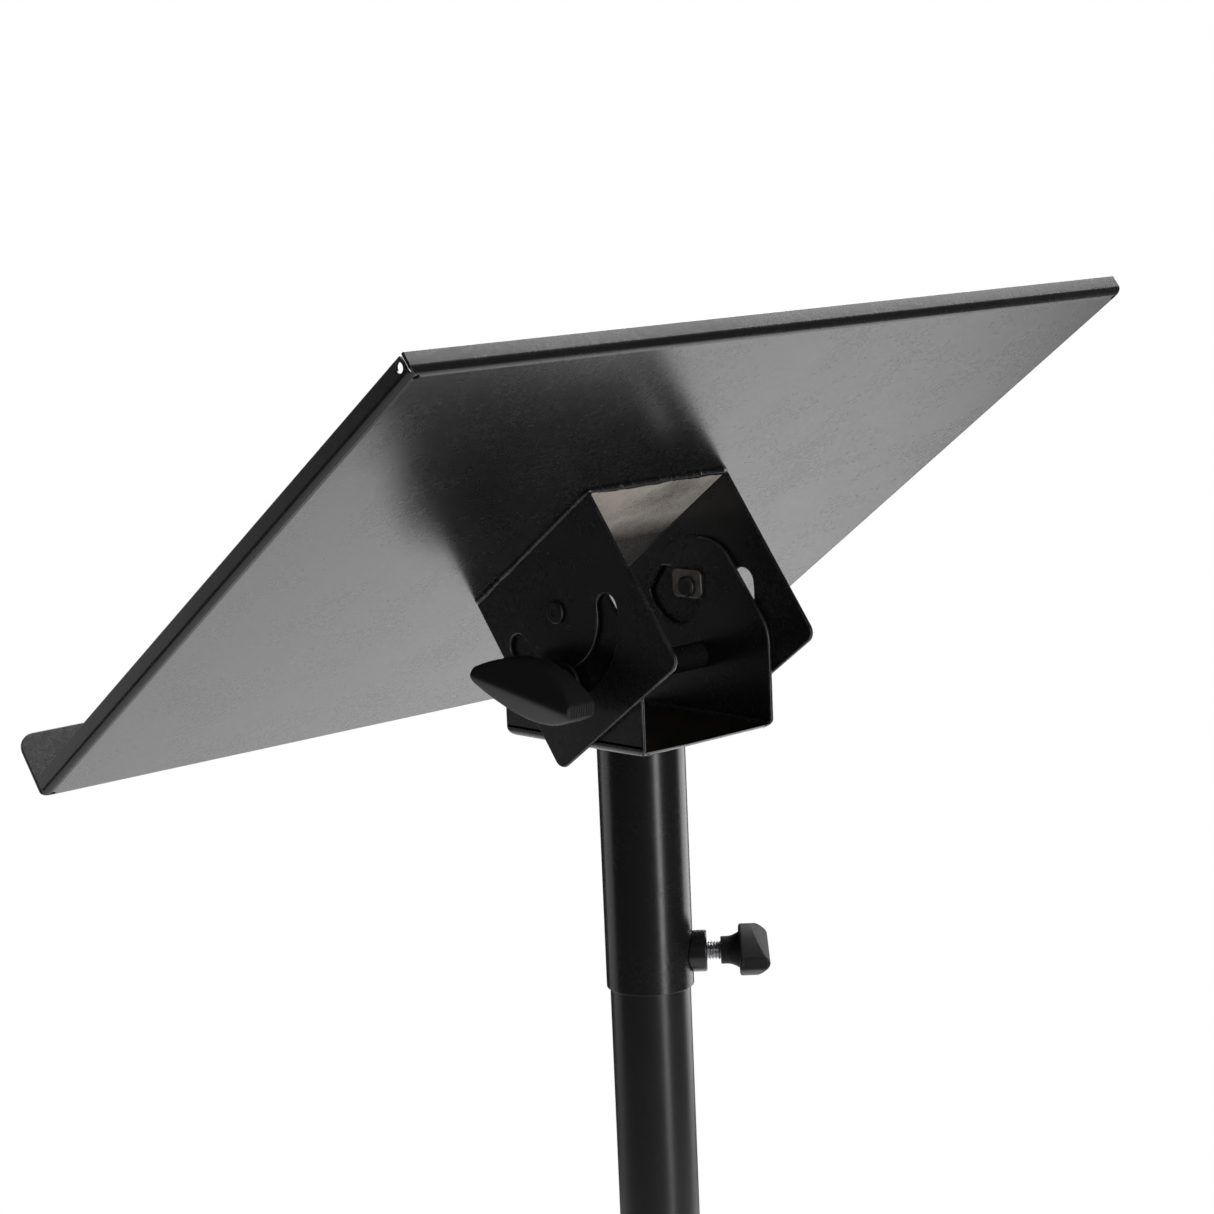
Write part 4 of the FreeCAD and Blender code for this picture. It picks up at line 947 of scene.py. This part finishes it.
@dataclass
class WingKnob:
    """Moulded knob with two leaf-shaped wings, a ridge and ribbed ends."""

    node: str
    joint: str
    scale: float = 1.0
    turn: float = 0.0
    stem_radius: float = 6.8 * MM
    bore_radius: float = 5.6 * MM
    bore_depth: float = 9.0 * MM
    length: float = 60.0 * MM
    height: float = 25.0 * MM
    end_height: float = 6.0 * MM
    depth: float = 16.0 * MM
    ridge: float = 7.5 * MM
    ridge_round: float = 0.9 * MM
    stem_length: float = 10.0 * MM
    flare: float = 2.7 * MM
    flare_from: float = 0.35
    stem_reach: float = 0.3
    rounding: float = 1.1 * MM
    rib_count: int = 9
    rib_pitch: float = 1.5 * MM
    rib_width: float = 0.6 * MM
    rib_depth: float = 0.35 * MM
    sections: int = 56
    around: int = 56
    lip: float = 0.5 * MM
    flare_steps: int = 8

    def columns(self) -> list[float]:
        """Places from the back of the wings to the ridge where the sections have points.

        Returns:
            The distances from the back, in rising order.
        """
        found = [0.0, self.rounding * 0.12, self.rounding * 0.4, self.rounding]
        for rib in range(self.rib_count):
            start = (rib + 1) * self.rib_pitch
            bank = self.rib_width / 4
            found += [start, start + bank, start + self.rib_width - bank, start + self.rib_width]
        rest = max(found)
        tip = [rest + (self.depth - rest) * share for share in TIP_SHARES]
        return sorted(set(found + tip))

    def leaf(self, along: float) -> float:
        """Half height of the wings at a distance from the middle.

        Args:
            along: distance from the middle along the wings.

        Returns:
            Half the height there.
        """
        half = self.length / 2
        rise = (self.height - self.end_height) / 2
        radius = (half * half + rise * rise) / (2 * rise)
        return self.height / 2 - radius + math.sqrt(radius * radius - along * along)

    def half_height(self, back: float, tall: float) -> float:
        """Half height of one section at a distance from its back, with rounded corners.

        Args:
            back: distance from the back of the wings.
            tall: half height of the leaf at this section.

        Returns:
            Half the height there.
        """
        front = max(self.depth - back, 0.0)
        eased = math.sqrt(front * (front + 2 * self.ridge_round))
        whole = math.sqrt(self.ridge * (self.ridge + 2 * self.ridge_round))
        roof = eased / whole * self.height / 2
        blend = self.rounding * 1.6
        gap = max(blend - abs(roof - tall), 0.0) / blend
        top = min(roof, tall) - gap * gap * blend / 4
        if back < self.rounding:
            lost = self.rounding - back
            top -= self.rounding - math.sqrt(self.rounding ** 2 - lost * lost)
        return max(top, 0.0)

    def wings(self) -> bmesh.types.BMesh:
        """The two wings as one closed surface, with the stem's face at X = 0.

        Returns:
            The closed surface.
        """
        surface = bmesh.new()
        columns = self.columns()
        half = self.length / 2
        nose = self.rounding * 0.8
        steps = [-math.cos(math.pi * index / self.sections) for index in range(self.sections + 1)]
        rings = []
        for step in steps:
            along = step * half
            past = max(0.0, abs(along) - (half - nose))
            inset = nose - math.sqrt(max(nose * nose - past * past, 0.0))
            tall = self.leaf(along)
            at_end = abs(step) > 1.0 - 1e-9
            upper = []
            lower = []
            for back in columns:
                squeezed = inset + back * (self.depth - 2 * inset) / self.depth
                raised = max(self.half_height(back, tall) - inset, 0.0)
                reach = along - math.copysign(self.rib_cut(back), along) if at_end else along
                where = (self.stem_length + squeezed, reach)
                upper.append(surface.verts.new((*where, raised)))
                lower.append(surface.verts.new((*where, -raised)))
            rings.append(upper + lower[::-1])
        bridge_rings(surface, rings)
        count = len(columns)
        for ring in (rings[0], rings[-1]):
            for index in range(count - 1):
                surface.faces.new([ring[index], ring[index + 1], ring[-index - 2],
                                   ring[-index - 1]])
        bmesh.ops.remove_doubles(surface, verts=surface.verts, dist=SAME_POINT)
        return surface

    def rib_cut(self, back: float) -> float:
        """Depth of the end ribs' grooves at a distance from the back.

        Args:
            back: distance from the back of the wings.

        Returns:
            The depth, or 0 between the grooves.
        """
        for rib in range(self.rib_count):
            inside = back - (rib + 1) * self.rib_pitch
            bank = self.rib_width / 4
            if bank * 0.9 < inside < self.rib_width - bank * 0.9:
                return self.rib_depth
        return 0.0

    def stem(self) -> bmesh.types.BMesh:
        """The round stem with its bore and its flare into the wings.

        Returns:
            The closed surface.
        """
        flare_start = self.stem_length * self.flare_from
        into = self.stem_length + self.depth * self.stem_reach
        slim = self.stem_radius / self.scale
        wide = slim + self.flare
        bore = self.bore_radius / self.scale
        lip = self.lip
        deep = self.bore_depth / self.scale
        profile = [(deep, 0.0), (deep, bore), (0.0, bore), (0.0, slim - lip),
                   (lip * 0.3, slim - lip * 0.3), (lip, slim)]
        for index in range(self.flare_steps + 1):
            share = index / self.flare_steps
            rise = 1.0 - math.cos(share * math.pi / 2)
            profile.append((flare_start + (self.stem_length + lip - flare_start) * share,
                            slim + (wide - slim) * rise))
        profile += [(into, wide), (into, 0.0)]
        surface = bmesh.new()
        bridge_rings(surface, [ring_at(surface, along, radius, self.around)
                               for along, radius in profile])
        return surface

    def build(self, workshop: Workshop) -> None:
        """Build the knob on its joint's axis, against the face that the CAD gives.

        Args:
            workshop: what dresses and reports the pieces.
        """
        origin, axis = joint_line(self.joint)
        face = span(self.node, origin, axis)[0]
        knob = piece_from(self.wings(), f"{self.node}_finished")
        stem = piece_from(self.stem(), f"{self.node}_stem")
        united(knob, stem)
        place = axis_place(origin + axis * face, axis, self.turn) @ Matrix.Scale(self.scale, 4)
        knob.data.transform(place)
        workshop.place(knob, self.node)


SIDE_KNOB = {"scale": 0.8, "stem_radius": 6.0 * MM, "bore_radius": 4.8 * MM,
             "bore_depth": 8.0 * MM}


@dataclass
class ThreadedScrew:
    """Side screw with a rolled thread and a pointed dog end."""

    node: str
    joint: str
    radius: float = 4.0 * MM
    flange: float = 0.8 * MM
    flange_length: float = 6.5 * MM
    pitch: float = 1.25 * MM
    thread_depth: float = 0.62 * MM
    flank_slope: float = 1.25
    crest_flat: float = 0.12
    tip_length: float = 1.2 * MM
    tip_cut: float = 1.1 * MM
    chamfer: float = 0.3 * MM
    around: int = 36
    steps_per_turn: int = 10

    def build(self, workshop: Workshop) -> None:
        """Build the screw on its joint's axis, as long as the CAD has it.

        Args:
            workshop: what dresses and reports the pieces.
        """
        origin, axis = joint_line(self.joint)
        tip, end = span(self.node, origin, axis)
        surface = bmesh.new()
        thread_end = end - self.flange_length
        count = round((thread_end - tip) / self.pitch * self.steps_per_turn)
        rings = [ring_at(surface, tip, 0.0, self.around)]
        for index in range(count + 1):
            along = tip + (thread_end - tip) * index / count
            rings.append(self.ring(surface, along, tip, thread_end))
        wide = self.radius + self.flange
        slim = wide - self.chamfer
        for along, radius in ((thread_end, slim), (thread_end + self.chamfer, wide),
                              (end - self.chamfer, wide), (end, slim), (end, 0.0)):
            rings.append(ring_at(surface, along, radius, self.around))
        bridge_rings(surface, rings)
        screw = piece_from(surface, f"{self.node}_finished", 60.0)
        screw.data.transform(axis_place(origin, axis))
        workshop.place(screw, self.node)

    def ring(self, surface: bmesh.types.BMesh, along: float, tip: float, end: float) -> list:
        """Ring of points that follows the thread's helix and fades out at both ends.

        Args:
            surface: the mesh that gets the points.
            along: where on the axis the ring is.
            tip: where the screw starts.
            end: where the thread ends.

        Returns:
            The new points.
        """
        fade = min(1.0, (along - tip) / (2 * self.pitch), (end - along) / (2 * self.pitch))
        blunt = max(0.0, 1.0 - (along - tip) / self.tip_length) * self.tip_cut
        ring = []
        for step in range(self.around):
            turn = 2 * math.pi * step / self.around
            phase = (along / self.pitch - step / self.around) % 1.0
            groove = abs(2.0 * phase - 1.0)
            flank = min(1.0, max(0.0, groove * self.flank_slope - self.crest_flat))
            cut = flank * self.thread_depth * max(fade, 0.0)
            radius = self.radius - cut - blunt
            ring.append(surface.verts.new((along, radius * math.cos(turn),
                                           radius * math.sin(turn))))
        return ring


# ---------------------------------------------------------------- head
@dataclass
class TiltHead:
    """Yoke, pivot rivets, clamp bolt and the socket tube under the yoke."""

    sheet_rounding: float = 0.8 * MM
    small_rounding: float = 0.3 * MM
    bead_drop: float = 1.2 * MM
    bead_share: float = 0.72
    inner_width: float = 0.9

    def build(self, workshop: Workshop) -> None:
        """Build the head's pieces.

        Args:
            workshop: what dresses and reports the pieces.
        """
        yoke = workshop.ease("yoke", self.sheet_rounding, 3)
        half = span("yoke", Vector(), X_AXIS)[1]
        workshop.face_finish(yoke, YOKE_FLOOR, Z_AXIS, half * self.inner_width)
        for node in ("pivot_rivets", "clamp_bolt", "clamp_washers", "spacer_tube", "socket_tube"):
            workshop.ease(node, self.small_rounding, 3)
        plates = workshop.ease("pivot_backing_plates", self.small_rounding, 3)
        plates.data.materials[0] = RIVET_PLATE.material()
        workshop.ease("socket_boss", self.sheet_rounding, 3)
        self.socket_weld(workshop)

    def socket_weld(self, workshop: Workshop) -> None:
        """Lay a ring of weld round the top of the socket tube.

        Args:
            workshop: what dresses and reports the pieces.
        """
        low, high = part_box("socket_weld_bead")
        tube_low, tube_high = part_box("socket_tube")
        radius = (tube_high.x - tube_low.x) / 2
        centre = Vector((0.0, 0.0, high.z - self.bead_drop))

        def place(distance: float) -> tuple[Vector, Vector, Vector]:
            """Centre, outward and upward directions on the ring."""
            turn = distance / radius
            outward = Vector((math.cos(turn), math.sin(turn), 0.0))
            return centre + outward * radius, outward, Z_AXIS

        bead = WeldBead(radius=(high.z - low.z) * self.bead_share)
        surface = bead.run(place, 2 * math.pi * radius, True, 3.0)
        workshop.place(piece_from(surface, "socket_weld_bead_finished"), "socket_weld_bead")


# ---------------------------------------------------------------- column
@dataclass
class Column:
    """Pole, main tube, height clamp and the plugs in the tubes."""

    tube_rounding: float = 0.35 * MM
    moulded_rounding: float = 0.8 * MM

    def build(self, workshop: Workshop) -> None:
        """Build the column's pieces.

        Args:
            workshop: what dresses and reports the pieces.
        """
        for node in ("pole_tube", "main_tube", "stop_ring", "main_tube_plug", "pole_top_plug"):
            workshop.ease(node, self.tube_rounding, 3)
        workshop.ease("height_collar", self.moulded_rounding, 3)
        workshop.ease("height_collar_rivets", self.tube_rounding, 3)
        for node in ("height_collar_liner", "pole_guide_bush"):
            workshop.keep_node(node)


# ---------------------------------------------------------------- tripod
@dataclass
class Tripod:
    """Hub, sliding collar, braces, legs and rubber feet."""

    legs: int = 3
    moulded_rounding: float = 0.7 * MM
    strip_rounding: float = 0.5 * MM
    tube_rounding: float = 0.3 * MM
    pin_rounding: float = 0.6 * MM
    rubber_rounding: float = 1.2 * MM

    def build(self, workshop: Workshop) -> None:
        """Build the tripod's pieces.

        Args:
            workshop: what dresses and reports the pieces.
        """
        for node in ("base_hub", "leg_collar"):
            workshop.ease(node, self.moulded_rounding, 3)
        for node in ("hub_screws", "hub_pins"):
            workshop.ease(node, self.pin_rounding, 3)
        for number in range(1, self.legs + 1):
            workshop.ease(f"leg_{number}", self.tube_rounding, 2)
            workshop.ease(f"leg_knuckle_{number}", self.strip_rounding, 3)
            workshop.ease(f"brace_{number}", self.strip_rounding, 3)
            workshop.ease(f"foot_{number}", self.rubber_rounding, 4)
            for pin in ("leg_top_pin", "brace_pin"):
                workshop.ease(f"{pin}_{number}", self.pin_rounding, 3)


# ---------------------------------------------------------------- studio
@dataclass(frozen=True)
class Softbox:
    """Soft light of a width and a height that faces a target."""

    name: str
    place: Point
    target: Point
    size: tuple[float, float]
    power: float

    def build(self) -> None:
        """Put the light into the scene, out of the camera's sight."""
        light = bpy.data.lights.new(self.name, "AREA")
        light.shape = "RECTANGLE"
        light.size, light.size_y = self.size
        light.energy = self.power
        box = stand_up(self.name, light)
        box.location = self.place
        box.rotation_mode = "QUATERNION"
        facing = Vector(self.target) - Vector(self.place)
        box.rotation_quaternion = facing.to_track_quat("-Z", "Y")
        box.visible_camera = False


SOFTBOXES = (
    Softbox("overhead", (-2.1, -0.35, 3.2), (-1.3, -0.3, 0.0), (2.3, 2.3), 190.0),
    Softbox("behind_camera", (0.9, 2.9, 1.9), (0.0, 0.0, 0.85), (1.1, 1.1), 12.0),
    Softbox("reader_side", (-2.2, -1.9, 2.3), (0.0, 0.0, 0.8), (1.3, 1.3), 26.0),
    Softbox("tube_strip", (0.25, 2.2, 0.75), (0.0, 0.0, 0.75), (0.4, 1.5), 14.0),
    Softbox("far_rim", (-2.3, 0.1, 0.75), (0.0, 0.0, 0.75), (1.6, 1.5), 18.0),
    Softbox("near_rim", (0.9, -2.3, 0.75), (0.0, 0.0, 0.75), (1.6, 1.5), 6.0),
)


@dataclass
class Studio:
    """Pale floor, soft lights and the camera."""

    azimuth: float = 136.56
    elevation: float = 9.23
    roll: float = -2.44
    distance: float = 1.2528
    lens: float = 87.11
    aim_right: float = -0.00899
    aim_up: float = -0.00346
    floor_radius: float = 1.75
    floor_dark: Colour = (0.86, 0.86, 0.86)
    floor_light: Colour = (0.90, 0.90, 0.90)
    floor_roughness: float = 0.7
    backdrop_light: float = 0.03
    sensor_width: float = 36.0

    def build(self) -> None:
        """Build the floor, the lights, the surroundings and the camera."""
        self.floor()
        self.surroundings()
        for softbox in SOFTBOXES:
            softbox.build()
        self.camera()

    def floor(self) -> None:
        """Round pale floor under the stand."""
        surface = bmesh.new()
        bmesh.ops.create_circle(surface, cap_ends=True, segments=128, radius=self.floor_radius)
        floor = stand_up("studio_floor", mesh_from(surface, "studio_floor"))
        material, wiring, shader = new_material("pale_floor")
        where = wiring.own_place()
        cloud = wiring.noise(where, 3.0, 3.0)
        wiring.join(shader, "Base Color", mixed(wiring, cloud, self.floor_dark, self.floor_light))
        shader.inputs["Roughness"].default_value = self.floor_roughness
        floor.data.materials.append(material)

    def surroundings(self) -> None:
        """White backdrop that lights the stand only faintly."""
        world = bpy.data.worlds.new("studio")
        bpy.context.scene.world = world
        world.use_nodes = True
        tree = world.node_tree
        tree.nodes.clear()
        wiring = Wiring(tree)
        white = with_alpha((1.0, 1.0, 1.0))
        seen = wiring.add("ShaderNodeBackground", Color=white, Strength=1.0)
        cast = wiring.add("ShaderNodeBackground", Color=white, Strength=self.backdrop_light)
        ray = wiring.add("ShaderNodeLightPath")
        both = wiring.add("ShaderNodeMixShader")
        tree.links.new(ray.outputs["Is Camera Ray"], both.inputs[0])
        tree.links.new(cast.outputs[0], both.inputs[1])
        tree.links.new(seen.outputs[0], both.inputs[2])
        leave = wiring.add("ShaderNodeOutputWorld")
        tree.links.new(both.outputs[0], leave.inputs[0])

    def camera(self) -> None:
        """Camera behind the stand, level with the tray."""
        turn = math.radians(self.azimuth)
        rise = math.radians(self.elevation)
        back = Vector((math.sin(turn) * math.cos(rise), -math.cos(turn) * math.cos(rise),
                       math.sin(rise)))
        right = (-back).cross(Z_AXIS).normalized()
        up = back.cross(right)
        lean = math.radians(self.roll)
        across = right * math.cos(lean) + up * math.sin(lean)
        above = up * math.cos(lean) - right * math.sin(lean)
        pivot = joint_line("tray_tilt")[0]
        target = pivot + right * self.aim_right + Z_AXIS * self.aim_up
        data = bpy.data.cameras.new("camera")
        data.sensor_width = self.sensor_width
        data.lens = self.lens
        camera = stand_up("camera", data)
        basis = Matrix((across, above, back)).transposed().to_4x4()
        camera.matrix_world = Matrix.Translation(target + back * self.distance) @ basis
        bpy.context.scene.camera = camera
        bpy.context.scene.view_settings.view_transform = "Standard"


def main() -> None:
    """Build every sub-assembly in order, then the studio."""
    logging.basicConfig(level=logging.INFO, format="%(name)s: %(message)s")
    workshop = Workshop()
    Tray().build(workshop)
    TiltHead().build(workshop)
    WingKnob("tilt_knob", "tilt_knob_turn", turn=-10.0).build(workshop)
    for node, screw in (("socket_knob", "socket_screw"), ("height_knob", "height_screw"),
                        ("leg_collar_knob", "leg_collar_screw")):
        WingKnob(node, f"{screw}_turn", **SIDE_KNOB).build(workshop)
        ThreadedScrew(screw, f"{screw}_turn").build(workshop)
    Column().build(workshop)
    Tripod().build(workshop)
    for node in frame["nodes"]:
        if not frame["nodes"][node].hide_render:
            workshop.keep_node(node)
    Studio().build()


if __name__ == "__main__":
    main()
